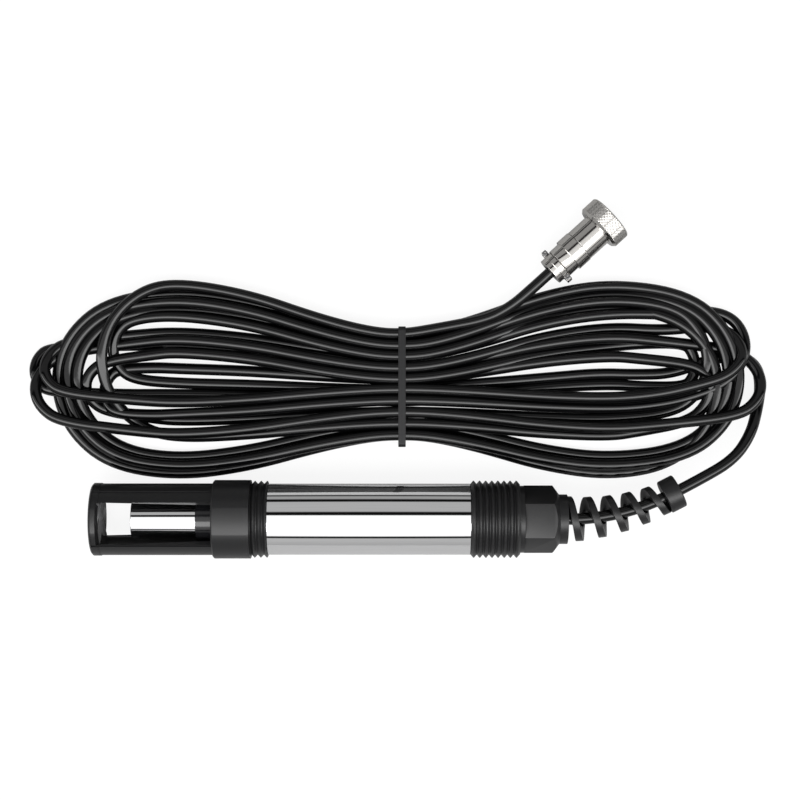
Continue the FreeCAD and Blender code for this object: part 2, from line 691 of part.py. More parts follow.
# The gland nut is one soft black moulding: a hexagon that screws on the rear fitting, a disc, a
# spiral strip that bends with the cable, and an end ring.
def make_gland():
    corner = "(hex_flats / 2 / cos(30))"
    bore = "(tail_radius + guard_clearance)"
    floor_of_bore = f"({tail_rear} + washer_depth + seat_gap * 2)"
    nut = turned(
        "gland_nut_blank",
        [
            (shoulder_rear, bore), (shoulder_rear, corner), (f"{hex_rear} - hex_chamfer", corner),
            (hex_rear, "disc_radius"), (disc_rear, "disc_radius"), (disc_rear, gland_hole),
            (floor_of_bore, gland_hole), (floor_of_bore, bore),
        ],
    )
    flats = sketch_on(nut, "YZ_Plane", shoulder_rear)
    round_outline(flats, "0", "0", "hex_flats")
    outline(flats, [(f"{corner} * cos({60 * side})", f"{corner} * sin({60 * side})") for side in range(6)])
    pocket(nut, flats, "hex_length")
    spiral = doc.addObject("Part::Feature", "bend_spiral")
    spiral.Shape = spiral_strip()
    spiral.Placement = FreeCAD.Placement()
    cuff = turned(
        "bend_cuff",
        [
            ("-cuff_length / 2", gland_hole), ("-cuff_length / 2", "cuff_radius - cuff_edge"),
            ("-cuff_length / 2 + cuff_edge", "cuff_radius"), ("cuff_length / 2 - cuff_edge", "cuff_radius"),
            ("cuff_length / 2", "cuff_radius - cuff_edge"), ("cuff_length / 2", gland_hole),
        ],
    )
    place(cuff, f"{disc_rear} + bend_radius * sin(bend_angle)", "bend_radius * (1 - cos(bend_angle))")
    cuff.setExpression("Placement.Rotation.Angle", bound("bend_angle"))
    fused = doc.addObject("Part::MultiFuse", "gland_nut")
    fused.Label = "gland_nut"
    fused.Shapes = [nut, spiral, cuff]
    seal = turned(
        "gland_seal",
        [
            (f"{tail_rear} - seal_length", "cable_radius + fit_clearance"),
            (f"{tail_rear} - seal_length", "seal_radius"),
            (tail_rear, "seal_radius"),
            (tail_rear, "cable_radius + fit_clearance"),
        ],
    )
    washer = turned(
        "gland_washer",
        [
            (f"{tail_rear} + seat_gap", gland_hole), (f"{tail_rear} + seat_gap", "tail_radius"),
            (f"{tail_rear} + seat_gap + washer_depth", "tail_radius"),
            (f"{tail_rear} + seat_gap + washer_depth", gland_hole),
        ],
    )
    return [fused, seal, washer]


SECTIONS_A_TURN = 14


def spiral_strip():
    """The spiral strip: square sections wound about a curved axis and joined by one smooth loft.

    It has as many turns as bring it from the disc into the end ring.
    """
    bend = value("bend_radius")
    half_width = value("spiral_width") / 2
    arc = bend * math.radians(value("bend_angle"))
    travel = arc + value("spiral_root + spiral_tip - spiral_width - cuff_length / 2")
    turns = travel / value("spiral_pitch")
    start = value(disc_rear)
    bore = value("spiral_bore")
    rim_start = value("spiral_start_radius")
    taper = value("spiral_end_radius") - rim_start
    steps = int(turns * SECTIONS_A_TURN)
    sections = []
    for step in range(steps + 1):
        share = step / steps
        angle = share * turns * 2 * math.pi
        middle = share * travel + half_width - value("spiral_root")
        rim = rim_start + taper * share
        corners = []
        for side, radius in ((-1, bore), (-1, rim), (1, rim), (1, bore)):
            swing = (middle + side * half_width) / bend
            out = bend - radius * math.cos(angle)
            along = start + out * math.sin(swing)
            across = bend - out * math.cos(swing)
            corners.append(FreeCAD.Vector(along, across, radius * math.sin(angle)))
        sections.append(Part.makePolygon(corners + corners[:1]))
    return Part.makeLoft(sections, True, False)


# The hank is the outer form of the cable's turns: two lobes drawn in at the tie, flat on the floor,
# with an open crescent in each lobe.
def make_hank():
    middle = value("hank_middle")
    near = value("waist_near")
    far = value("waist_far")
    floor = value(floor_level)
    centre = (near + far) / 2
    # Half of the outline, outwards from the tie: a point on each arc and its end.
    arcs = [
        ((-24, 70.0), (-46.3, 77.0)),
        ((-74, 83.1), (-99, 77.4)),
        ((-109, 71.5), (-118.3, 63.9)),
        ((-130.2, 49.8), (-118.3, 35.5)),
        ((-102.5, 21.8), (-79.7, 13.6)),
        ((-60, 14.3), (-35.8, 20.4)),
        ((-18, 25.2), (0, near)),
    ]
    spots = [spot for arc in arcs for spot in arc]
    half_length = max(-x for x, y in spots)
    half_width = (max(y for x, y in spots) - min(y for x, y in spots)) / 2
    # The crescent in a lobe: its ends are the first and the third corner.
    crescent = ((-96, 29.4), (-70, 26.6), (-45, 27.6), (-70, 21.7))
    body = new_body("cable_hank")

    def level(height, inset):
        """The outline at a height above the floor, drawn in towards its middle."""
        sketch = sketch_on(body, "XY_Plane", f"{floor_level} + {height}")
        along = 1 - value(inset) / half_length
        across = 1 - value(inset) / half_width
        for mirror in (1, -1):
            start = (0, far)
            for through, end in arcs:
                bow = [
                    FreeCAD.Vector(middle + mirror * x * along, centre + (y - centre) * across, 0)
                    for x, y in (start, through, end)
                ]
                sketch.addGeometry(Part.Arc(*bow), False)
                start = end
        return sketch

    levels = [
        level("0", "hank_edge / 5"),
        level("hank_height / 3", "0"),
        level("hank_height * 2 / 3", "hank_edge / 5"),
        level("hank_height", "hank_edge"),
    ]
    loft = body.newObject("PartDesign::AdditiveLoft", "hank_form")
    loft.Profile = levels[0]
    loft.Sections = levels[1:]
    loft.Ruled = True
    doc.recompute()
    top = floor + value("hank_height + dip_rise")
    dip = sketch_on(body, "XZ_Plane")
    low = FreeCAD.Vector(middle, floor + value("hank_waist"), 0)
    left = FreeCAD.Vector(middle - value("dip_reach"), top, 0)
    right = FreeCAD.Vector(middle + value("dip_reach"), top, 0)
    dip.addGeometry(Part.Arc(left, low, right), False)
    dip.addGeometry(Part.LineSegment(right, left), False)
    pocket(body, dip, "waist_far * 2", along_normal=False)
    for mirror in (1, -1):
        gap = sketch_on(body, "XY_Plane", floor_level)
        a, b, c, d = (
            FreeCAD.Vector(middle + mirror * along, across, 0)
            for along, across in crescent
        )
        gap.addGeometry(Part.Arc(a, b, c), False)
        gap.addGeometry(Part.Arc(c, d, a), False)
        pocket(body, gap, "hank_height * 2")
    groove = sketch_on(body, "XZ_Plane")
    reach = "(tie_width / 2 + fit_clearance)"
    outline(
        groove,
        [
            (f"hank_middle - {reach}", f"{floor_level} - tie_depth"),
            (f"hank_middle + {reach}", f"{floor_level} - tie_depth"),
            (f"hank_middle + {reach}", f"{floor_level} + tie_depth"),
            (f"hank_middle - {reach}", f"{floor_level} + tie_depth"),
        ],
    )
    pocket(body, groove, "waist_far * 2", along_normal=False)
    return body


# The cable tie is a flat strap around the hank's waist, thicker at the side by the probe.
def make_tie():
    front = "(hank_middle - tie_width / 2)"
    opening = "(waist_far - waist_near + fit_clearance * 2)"
    outside = block(
        "tie_outside",
        (front, "waist_near - fit_clearance - tie_head", floor_level),
        ("tie_width", f"{opening} + tie_head + tie_depth / 2", "hank_waist + fit_clearance + tie_depth"),
    )
    doc.recompute()
    corners = [
        (number, value("tie_corner"), value("tie_corner"))
        for number, each in enumerate(outside.Shape.Edges, start=1)
        if each.BoundBox.XLength > value("tie_width") / 2
    ]
    soft = doc.addObject("Part::Fillet", "tie_rounded")
    soft.Base = outside
    soft.Edges = corners
    inside = block(
        "tie_inside",
        (f"{front} - tie_width", "waist_near - fit_clearance", f"{floor_level} + tie_depth - fit_clearance"),
        ("tie_width * 3", opening, "hank_waist - tie_depth + fit_clearance * 2"),
    )
    tie = doc.addObject("Part::Cut", "cable_tie")
    tie.Label = "cable_tie"
    tie.Base = soft
    tie.Tool = inside
    return tie


# The plug is a round screw-on connector. Its pieces are turned about their own X, which starts at
# the cable end, and all are placed together.
clamp_front = "clamp_length"
neck_front = "(clamp_length + neck_length)"
barrel_front = f"({neck_front} + barrel_length)"
shell_rear = f"({barrel_front} + shell_seam)"
shell_front = f"({shell_rear} + shell_length)"
nut_front = f"({shell_front} + mouth_setback)"
nut_rear = f"({nut_front} - nut_length)"
plug_up = f"({floor_level} + nut_radius)"


def on_plug(piece):
    """Place a piece of the plug on the plug's own axis."""
    place(piece, "plug_place_x", "plug_place_y", plug_up)
    piece.setExpression("Placement.Rotation.Angle", bound("plug_turn"))
    return piece


def plug_pieces(name, pieces):
    """Like pieces of the plug under one name, placed together."""
    return on_plug(group(name, pieces))


def make_plug():
    shell_bore = "(shell_radius - shell_wall)"
    spigot = f"({shell_bore} - fit_clearance)"
    rear = turned(
        "plug_rear_shell",
        [
            ("0", "grip_radius"), ("0", "clamp_radius"), (clamp_front, "clamp_radius"),
            (clamp_front, "neck_radius"), (neck_front, "neck_radius"), (neck_front, "barrel_radius"),
            (barrel_front, "barrel_radius"), (barrel_front, shell_bore), (neck_front, shell_bore),
            (neck_front, "grip_radius"),
        ],
    )
    upper = sketch_on(rear, "XZ_Plane", "-barrel_radius")
    before = "-clamp_length"
    outline(
        upper,
        [
            (before, "-fit_clearance"), (clamp_front, "-fit_clearance"),
            (clamp_front, "barrel_radius"), (before, "barrel_radius"),
        ],
    )
    pocket(rear, upper, "barrel_radius * 2")
    ear_front = f"({clamp_front} - ear_width)"
    inner = "(clamp_radius / 2 + grip_radius / 2)"
    for side in (1, -1):
        ears = sketch_on(rear, "XY_Plane", "-fit_clearance - ear_height")
        outline(
            ears,
            [
                (ear_front, f"{side} * {inner}"), (clamp_front, f"{side} * {inner}"),
                (clamp_front, f"{side} * ear_reach"), (ear_front, f"{side} * ear_reach"),
            ],
        )
        pad(rear, ears, "ear_height")
    screw_along = f"({clamp_front} - ear_width / 2)"
    for side in (1, -1):
        drill = sketch_on(rear, "XY_Plane", "-fit_clearance - ear_height")
        round_outline(drill, screw_along, f"{side} * screw_place", "screw_radius + fit_clearance")
        pocket(rear, drill, "ear_height")
    on_plug(rear)

    saddle_front = f"({clamp_front} - fit_clearance)"
    saddle = turned(
        "cable_clamp",
        [
            ("0", "grip_radius"), ("0", "clamp_radius"),
            (saddle_front, "clamp_radius"), (saddle_front, "grip_radius"),
        ],
    )
    lower = sketch_on(saddle, "XZ_Plane", "-barrel_radius")
    outline(
        lower,
        [
            (before, "-barrel_radius"), ("barrel_radius", "-barrel_radius"),
            ("barrel_radius", "0"), (before, "0"),
        ],
    )
    pocket(saddle, lower, "barrel_radius * 2")
    for side in (1, -1):
        ears = sketch_on(saddle, "XY_Plane")
        outline(
            ears,
            [
                (ear_front, f"{side} * {inner}"), (saddle_front, f"{side} * {inner}"),
                (saddle_front, f"{side} * ear_reach"), (ear_front, f"{side} * ear_reach"),
            ],
        )
        pad(saddle, ears, "ear_height")
    for side in (1, -1):
        drill = sketch_on(saddle, "XY_Plane")
        round_outline(drill, screw_along, f"{side} * screw_place", "screw_radius + fit_clearance")
        pocket(saddle, drill, "ear_height")
    on_plug(saddle)

    screws = []
    for side in (1, -1):
        name = f"screw_{len(screws)}"
        shank = doc.addObject("Part::Cylinder", name + "_shank")
        shank.setExpression("Radius", bound("screw_radius"))
        shank.setExpression("Height", bound("ear_height * 2 + fit_clearance"))
        place(shank, screw_along, f"{side} * screw_place", "-fit_clearance - ear_height")
        head = doc.addObject("Part::Cylinder", name + "_head")
        head.setExpression("Radius", bound("screw_head_radius"))
        head.setExpression("Height", bound("screw_head_height"))
        place(head, screw_along, f"{side} * screw_place", "ear_height")
        screw = doc.addObject("Part::MultiFuse", name)
        screw.Shapes = [shank, head]
        slot_low = "ear_height + screw_head_height / 2"
        slot = block(
            name + "_slot",
            (f"{screw_along} - screw_head_radius", f"{side} * screw_place - screw_slot / 2", slot_low),
            ("screw_head_radius * 2", "screw_slot", "screw_head_height"),
        )
        slotted = doc.addObject("Part::Cut", name + "_slotted")
        slotted.Base = screw
        slotted.Tool = slot
        screws.append(slotted)
    screws = plug_pieces("clamp_screws", screws)

    sleeve = on_plug(
        turned(
            "cable_grommet",
            [
                ("seat_gap", "cable_radius + fit_clearance"), ("seat_gap", "grip_radius - fit_clearance"),
                (f"{neck_front} - fit_clearance", "grip_radius - fit_clearance"),
                (f"{neck_front} - fit_clearance", "cable_radius + fit_clearance"),
            ],
        )
    )

    flange_rear = f"({nut_rear} + nut_lip + nut_clearance)"
    flange = "(nut_bore_radius - nut_clearance)"
    insert_front = f"({shell_front} - insert_setback)"
    insert_rear = f"({insert_front} - insert_length)"
    front = on_plug(
        turned(
            "plug_front_shell",
            [
                (f"{shell_rear} - shell_spigot_length", f"{spigot} - shell_wall"),
                (f"{shell_rear} - shell_spigot_length", spigot),
                (shell_rear, spigot), (shell_rear, "shell_radius"), (flange_rear, "shell_radius"),
                (flange_rear, flange), (f"{flange_rear} + flange_depth", flange),
                (f"{flange_rear} + flange_depth", "shell_radius"), (shell_front, "shell_radius"),
                (shell_front, shell_bore), (insert_rear, shell_bore), (insert_rear, f"{spigot} - shell_wall"),
            ],
        )
    )
    nut = on_plug(
        turned(
            "coupling_nut",
            [
                (nut_rear, "shell_radius + nut_clearance"), (nut_rear, "nut_radius - nut_edge"),
                (f"{nut_rear} + nut_edge", "nut_radius"), (f"{nut_front} - nut_edge / 2", "nut_radius"),
                (nut_front, "nut_radius - nut_edge / 2"), (nut_front, "nut_bore_radius"),
                (f"{nut_rear} + nut_lip", "nut_bore_radius"),
                (f"{nut_rear} + nut_lip", "shell_radius + nut_clearance"),
            ],
        )
    )
    count = int(value("pin_count"))
    pins = []
    holes = []
    wires = []
    pin_rear = f"({insert_front} + seat_gap - pin_length)"
    core_circle = "(cable_radius - wire_radius * 1.5)"
    for number in range(count):
        angle = f"(45 + {number} * 360 / pin_count)"
        spot = (f"pin_circle * cos({angle})", f"pin_circle * sin({angle})")
        pins.append(rod(f"pin_{number}", pin_rear, "pin_radius", "pin_length", *spot))
        hole = ("pin_radius + fit_clearance", "pin_length + insert_setback", *spot)
        holes.append(rod(f"pin_hole_{number}", pin_rear, *hole))
        wire = ("wire_radius", f"{pin_rear} - cable_in_plug")
        spot = (f"{core_circle} * cos({angle})", f"{core_circle} * sin({angle})")
        wires.append(rod(f"plug_core_{number}", "cable_in_plug", *wire, *spot))
    blank = rod("insert_blank", insert_rear, f"{shell_bore} - fit_clearance", "insert_length")
    drills = group("insert_holes", holes)
    insert = doc.addObject("Part::Cut", "plug_insert")
    insert.Base = blank
    insert.Tool = drills
    insert.Label = "plug_insert"
    on_plug(insert)
    pins = plug_pieces("contact_pins", pins)
    wires = plug_pieces("plug_cores", wires)
    return [rear, saddle, screws, sleeve, front, nut, pins, wires, insert]


def make_cables():
    turn = math.radians(value("plug_turn"))

    def on_plug_axis(along):
        """A point of the plug's axis, counted from its cable end."""
        return (
            value("plug_place_x") + along * math.cos(turn),
            value("plug_place_y") + along * math.sin(turn),
            value(plug_up),
        )

    tail = TAIL_ROUTE + [on_plug_axis(-value("tail_run")), on_plug_axis(value("cable_in_plug"))]
    return [cable_tube("cable_lead", LEAD_ROUTE), cable_tube("cable_tail", tail)]


pieces = [make_guard()]
pieces += make_cap()
pieces += make_head()
pieces += make_optics()
pieces += make_front_fitting()
pieces.append(make_tube())
pieces += make_rear_fitting()
pieces += make_electronics()
pieces += make_gland()
pieces += make_cables()
pieces.append(make_hank())
pieces.append(make_tie())
pieces += make_plug()

doc.recompute()
for item in doc.Objects:
    if "Invalid" in item.State or "Error" in item.State:
        raise RuntimeError(f"{item.Name} failed: {item.State}")
for piece in pieces:
    if piece.Shape.isNull() or not piece.Shape.isValid():
        raise RuntimeError(f"{piece.Label} has no valid shape")

os.makedirs("parts", exist_ok=True)
for piece in pieces:
    piece.Shape.exportStep(f"parts/{piece.Label}.step")
    print(f"{piece.Label}: {len(piece.Shape.Solids)} solids, {piece.Shape.Volume:.1f} mm3")
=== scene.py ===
import bpy
import math
from collections import Counter
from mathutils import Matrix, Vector


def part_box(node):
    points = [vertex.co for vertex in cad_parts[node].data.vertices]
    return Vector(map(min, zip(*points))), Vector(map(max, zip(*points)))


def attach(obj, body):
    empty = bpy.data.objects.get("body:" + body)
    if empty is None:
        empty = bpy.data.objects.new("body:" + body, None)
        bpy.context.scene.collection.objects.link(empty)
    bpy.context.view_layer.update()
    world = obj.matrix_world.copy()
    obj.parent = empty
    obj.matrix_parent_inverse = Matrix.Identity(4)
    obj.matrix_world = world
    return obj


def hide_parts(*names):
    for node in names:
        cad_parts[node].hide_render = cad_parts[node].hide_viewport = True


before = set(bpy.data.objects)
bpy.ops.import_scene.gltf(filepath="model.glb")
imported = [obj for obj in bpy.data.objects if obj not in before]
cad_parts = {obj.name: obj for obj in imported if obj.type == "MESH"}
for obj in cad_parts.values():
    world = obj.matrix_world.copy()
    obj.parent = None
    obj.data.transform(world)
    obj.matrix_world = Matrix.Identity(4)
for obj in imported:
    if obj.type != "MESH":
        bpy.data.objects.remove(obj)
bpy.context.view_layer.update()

# The camera stands about 0.65 m above the probe and looks straight down, so that the probe lies
# level across the picture and the cable's hank lies beside it. It is a long lens on a square frame.
bpy.ops.object.camera_add(location=(-0.0329, 0.04133, 0.655), rotation=(0, 0, 0))
camera = bpy.context.object
camera.name = "camera"
camera.data.lens = 85.0
camera.data.sensor_width = 36.0
bpy.context.scene.camera = camera
bpy.context.scene.view_settings.view_transform = "Standard"

# The studio is a tent of soft boxes with dark gaps between them. They run along the probe, so the
# polished tube shows them as long bands. The world holds them, by the angle about the probe's axis.
world = bpy.data.worlds.new("studio")
bpy.context.scene.world = world
world.use_nodes = True
nodes = world.node_tree.nodes
links = world.node_tree.links
nodes.clear()
direction = nodes.new("ShaderNodeTexCoord")
split = nodes.new("ShaderNodeSeparateXYZ")
links.new(direction.outputs["Generated"], split.inputs[0])
angle = nodes.new("ShaderNodeMath")
angle.operation = "ARCTAN2"
links.new(split.outputs["Y"], angle.inputs[0])
links.new(split.outputs["Z"], angle.inputs[1])
share = nodes.new("ShaderNodeMapRange")
share.inputs["From Min"].default_value = -math.pi
share.inputs["From Max"].default_value = math.pi
links.new(angle.outputs[0], share.inputs["Value"])
boxes = nodes.new("ShaderNodeValToRGB")
links.new(share.outputs[0], boxes.inputs["Fac"])
ramp = boxes.color_ramp
ramp.interpolation = "LINEAR"


def studio_stop(degrees, level):
    """One stop of the tent's light, at an angle from straight up towards the hank."""
    stop = ramp.elements.new((degrees + 180) / 360)
    stop.color = (level, level, level, 1)


for degrees, level in (
    (-179, 0.033), (-110, 0.047), (-90, 0.073), (-63, 0.093), (-60, 0.001), (-55, 0.001), (-53, 0.2),
    (-38, 0.24), (-34, 1.0), (-12, 1.0), (-8, 0.24), (15, 0.2), (17, 0.001), (26, 0.001),
    (29, 0.08), (61, 0.08), (63, 0.001), (71, 0.001), (73, 0.06), (83, 0.06), (84, 0.001),
    (87, 0.001), (89, 0.053), (120, 0.04), (179, 0.033),
):
    studio_stop(degrees, level)
for first_or_last in (0, -1):
    ramp.elements.remove(ramp.elements[first_or_last])
tent = nodes.new("ShaderNodeBackground")
tent.inputs["Strength"].default_value = 6.0
links.new(boxes.outputs["Color"], tent.inputs["Color"])
seen = nodes.new("ShaderNodeBackground")
seen.inputs["Color"].default_value = (1, 1, 1, 1)
path = nodes.new("ShaderNodeLightPath")
choice = nodes.new("ShaderNodeMixShader")
links.new(path.outputs["Is Camera Ray"], choice.inputs["Fac"])
links.new(tent.outputs[0], choice.inputs[1])
links.new(seen.outputs[0], choice.inputs[2])
out = nodes.new("ShaderNodeOutputWorld")
links.new(choice.outputs[0], out.inputs["Surface"])

# The floor is a plain pale sheet that the probe, the hank and the plug lie on. It is white in the
# picture with a faint shadow, and bright metal shows it, and the light that it returns, as pale grey.
floor_height = min(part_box("guard")[0].z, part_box("cable_hank")[0].z)
bpy.ops.mesh.primitive_plane_add(size=4, location=(-0.033, 0.041, floor_height - 0.0001))
floor = bpy.context.object
floor.name = "floor"
floor_material = bpy.data.materials.new("white_sheet")
floor_material.use_nodes = True
nodes = floor_material.node_tree.nodes
links = floor_material.node_tree.links
nodes.clear()
path = nodes.new("ShaderNodeLightPath")
paper = nodes.new("ShaderNodeMapRange")
paper.inputs["To Min"].default_value = 0.3
paper.inputs["To Max"].default_value = 0.85
links.new(path.outputs["Is Camera Ray"], paper.inputs["Value"])
sheet = nodes.new("ShaderNodeBsdfDiffuse")
links.new(paper.outputs["Result"], sheet.inputs["Color"])
glow = nodes.new("ShaderNodeEmission")
glow.inputs["Color"].default_value = (1, 1, 1, 1)
seen_share = nodes.new("ShaderNodeMath")
seen_share.operation = "MAXIMUM"
links.new(path.outputs["Is Camera Ray"], seen_share.inputs[0])
links.new(path.outputs["Is Transmission Ray"], seen_share.inputs[1])
glossy_share = nodes.new("ShaderNodeMath")
glossy_share.operation = "MULTIPLY"
glossy_share.inputs[1].default_value = 0.06
links.new(path.outputs["Is Glossy Ray"], glossy_share.inputs[0])
total_share = nodes.new("ShaderNodeMath")
total_share.operation = "MULTIPLY_ADD"
total_share.inputs[1].default_value = 0.88
links.new(seen_share.outputs[0], total_share.inputs[0])
links.new(glossy_share.outputs[0], total_share.inputs[2])
mix = nodes.new("ShaderNodeMixShader")
links.new(total_share.outputs[0], mix.inputs["Fac"])
links.new(sheet.outputs[0], mix.inputs[1])
links.new(glow.outputs[0], mix.inputs[2])
out = nodes.new("ShaderNodeOutputMaterial")
links.new(mix.outputs[0], out.inputs["Surface"])
floor.data.materials.append(floor_material)

# The guard is one black moulding: a collar that goes over the front fitting, two bars with two
# windows between them, an end ring, and a cross in the ring. It screws on. The cross has a duller
# and lighter copy of the moulding's material; its lighter colour is painted light, for the light that
# the arms catch through the window. Lengths are written in millimetres.
MM = 0.001
WINDOW_TURN = math.radians(6)
CROSS_TURN = math.radians(11)
WINDOW_HALF = math.radians(37.5)
WINDOW_INSIDE = math.radians(47.5)
RECESS = (math.radians(-40), math.radians(60))
RECESS_SHARE = 0.968
RECESS_START = -138.6
WINDOW_SPAN = (-137.0, -97.5)
INSIDE_START = -136.2
OUTER_WALL = 12.3
INNER_WALL = 11.0
HAIR = 0.001
CROSS_PLACE = -136.6
CROSS_ARM = (1.3, 1.6, 23.4)
CROSS_REACH = 10.1


def turned_blank(name, profile, segments):
    """A closed wall turned about the probe's axis, one extruded ring for each corner in its profile."""
    bpy.ops.object.select_all(action="DESELECT")
    along, radius = profile[0]
    bpy.ops.mesh.primitive_circle_add(
        vertices=segments, radius=radius * MM, location=(along * MM, 0, 0), rotation=(0, math.pi / 2, 0)
    )
    piece = bpy.context.object
    piece.name = name
    piece.data.name = name
    bpy.ops.object.transform_apply(location=True, rotation=True, scale=True)
    bpy.ops.object.mode_set(mode="EDIT")
    bpy.ops.mesh.select_mode(type="EDGE")
    bpy.ops.mesh.select_all(action="SELECT")
    for (along, radius), (next_along, next_radius) in zip(profile, profile[1:] + profile[:1]):
        step = (next_along - along) * MM
        growth = next_radius / radius
        bpy.ops.mesh.extrude_edges_move(TRANSFORM_OT_translate={"value": (step, 0, 0)})
        bpy.ops.transform.resize(value=(1, growth, growth), center_override=(next_along * MM, 0, 0))
    bpy.ops.mesh.select_all(action="SELECT")
    bpy.ops.mesh.remove_doubles(threshold=0.002 * MM)
    bpy.ops.mesh.normals_make_consistent(inside=False)
    bpy.ops.object.mode_set(mode="OBJECT")
    return piece


def pick_faces(piece, wanted):
    """Go into edit mode with only the faces selected that pass the test."""
    bpy.context.view_layer.objects.active = piece
    bpy.ops.object.mode_set(mode="EDIT")
    bpy.ops.mesh.select_mode(type="FACE")
    bpy.ops.mesh.select_all(action="DESELECT")
    bpy.ops.object.mode_set(mode="OBJECT")
    for face in piece.data.polygons:
        face.select = wanted(face)
    bpy.ops.object.mode_set(mode="EDIT")


def pick_edges(piece, wanted):
    """Go into edit mode with only the edges selected that pass the test."""
    bpy.context.view_layer.objects.active = piece
    bpy.ops.object.mode_set(mode="EDIT")
    bpy.ops.mesh.select_mode(type="EDGE")
    bpy.ops.mesh.select_all(action="DESELECT")
    bpy.ops.object.mode_set(mode="OBJECT")
    for edge in piece.data.edges:
        edge.select = wanted(edge)
    bpy.ops.object.mode_set(mode="EDIT")


def soften(piece, width, steps=2, angle=28, smooth=18):
    """Break the sharp edges as a mould or a tool does, and shade the rest smooth; 0 breaks none."""
    bpy.ops.object.select_all(action="DESELECT")
    piece.select_set(True)
    bpy.context.view_layer.objects.active = piece
    if width:
        edges = piece.modifiers.new("soft_edges", "BEVEL")
        edges.width = width * MM
        edges.segments = steps
        edges.limit_method = "ANGLE"
        edges.angle_limit = math.radians(angle)
        bpy.ops.object.modifier_apply(modifier=edges.name)
    bpy.ops.object.shade_smooth_by_angle(angle=math.radians(smooth))


def join_to(piece, other):
    """Join a finished solid to a piece."""
    bpy.ops.object.select_all(action="DESELECT")
    other.select_set(True)
    piece.select_set(True)
    bpy.context.view_layer.objects.active = piece
    bpy.ops.object.join()


def dress(piece, material, slot, body, *nodes):
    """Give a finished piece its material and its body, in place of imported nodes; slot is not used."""
    piece.data.materials.clear()
    piece.data.materials.append(material)
    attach(piece, body)
    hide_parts(*nodes)


def grained(name, dark, light, smooth, rough, grain, relief, metal=0.0):
    """A finish whose colour and gloss vary with its fine grain; grain and relief in millimetres."""
    material = bpy.data.materials.new(name)
    material.use_nodes = True
    nodes = material.node_tree.nodes
    links = material.node_tree.links
    shader = nodes["Principled BSDF"]
    shader.inputs["Metallic"].default_value = metal
    place = nodes.new("ShaderNodeTexCoord")
    noise = nodes.new("ShaderNodeTexNoise")
    noise.inputs["Scale"].default_value = 1 / (grain * MM)
    noise.inputs["Detail"].default_value = 5
    links.new(place.outputs["Object"], noise.inputs["Vector"])
    tone = nodes.new("ShaderNodeValToRGB")
    tone.color_ramp.elements[0].position = 0.3
    tone.color_ramp.elements[0].color = (*dark, 1)
    tone.color_ramp.elements[1].position = 0.7
    tone.color_ramp.elements[1].color = (*light, 1)
    links.new(noise.outputs["Fac"], tone.inputs["Fac"])
    links.new(tone.outputs["Color"], shader.inputs["Base Color"])
    gloss = nodes.new("ShaderNodeMapRange")
    gloss.inputs["From Min"].default_value = 0.3
    gloss.inputs["From Max"].default_value = 0.7
    gloss.inputs["To Min"].default_value = smooth
    gloss.inputs["To Max"].default_value = rough
    links.new(noise.outputs["Fac"], gloss.inputs["Value"])
    links.new(gloss.outputs["Result"], shader.inputs["Roughness"])
    if relief:
        skin = nodes.new("ShaderNodeBump")
        skin.inputs["Distance"].default_value = relief * MM
        links.new(noise.outputs["Fac"], skin.inputs["Height"])
        links.new(skin.outputs["Normal"], shader.inputs["Normal"])
    return material


black_moulding = grained(
    "black_moulding", (0.0045, 0.0045, 0.0048), (0.008, 0.008, 0.0084), 0.32, 0.4, 0.25, 0.006
)
black_moulding.node_tree.nodes["Principled BSDF"].inputs["IOR"].default_value = 1.43
guard = turned_blank(
    "guard_moulding",
    [
        (-139.3, 9.4), (-139.3, 12.0), (-138.7, 12.6), (-137.0, 12.6), (-136.2, 12.6), (-136.2, 12.4),
        (-97.5, 12.4), (-97.5, 13.1), (-97.0, 13.6), (-84.55, 13.6), (-84.55, 11.1), (-96.75, 11.1),
        (-96.75, 10.2), (-97.5, 10.2), (-136.2, 10.2), (-138.0, 10.2), (-138.0, 9.4),
    ],
    144,
)
guard.rotation_euler.x = WINDOW_TURN
bpy.ops.object.transform_apply(location=True, rotation=True, scale=True)
upright = Vector((0, -math.sin(WINDOW_TURN), math.cos(WINDOW_TURN)))
sideways = Vector((0, math.cos(WINDOW_TURN), math.sin(WINDOW_TURN)))


def angle_from_window(face):
    """A face's angle about the axis from the middle of the nearer window."""
    up = face.center.dot(upright)
    across = face.center.dot(sideways)
    return math.atan2(across, up) if up > 0 else math.atan2(-across, -up)


def in_recess(face):
    """Whether a face of the outer wall lies in the shallow recess around a window."""
    outer = math.hypot(face.center.y, face.center.z) > OUTER_WALL * MM
    in_span = RECESS_START < face.center.x / MM < WINDOW_SPAN[1] - HAIR
    return outer and in_span and RECESS[0] < angle_from_window(face) < RECESS[1]


def in_window(face):
    """Whether a face of either wall lies in one of the two windows."""
    inner = math.hypot(face.center.y, face.center.z) < INNER_WALL * MM
    start = INSIDE_START if inner else WINDOW_SPAN[0]
    in_span = start < face.center.x / MM < WINDOW_SPAN[1] - HAIR
    half = WINDOW_INSIDE if inner else WINDOW_HALF
    return in_span and abs(angle_from_window(face)) < half


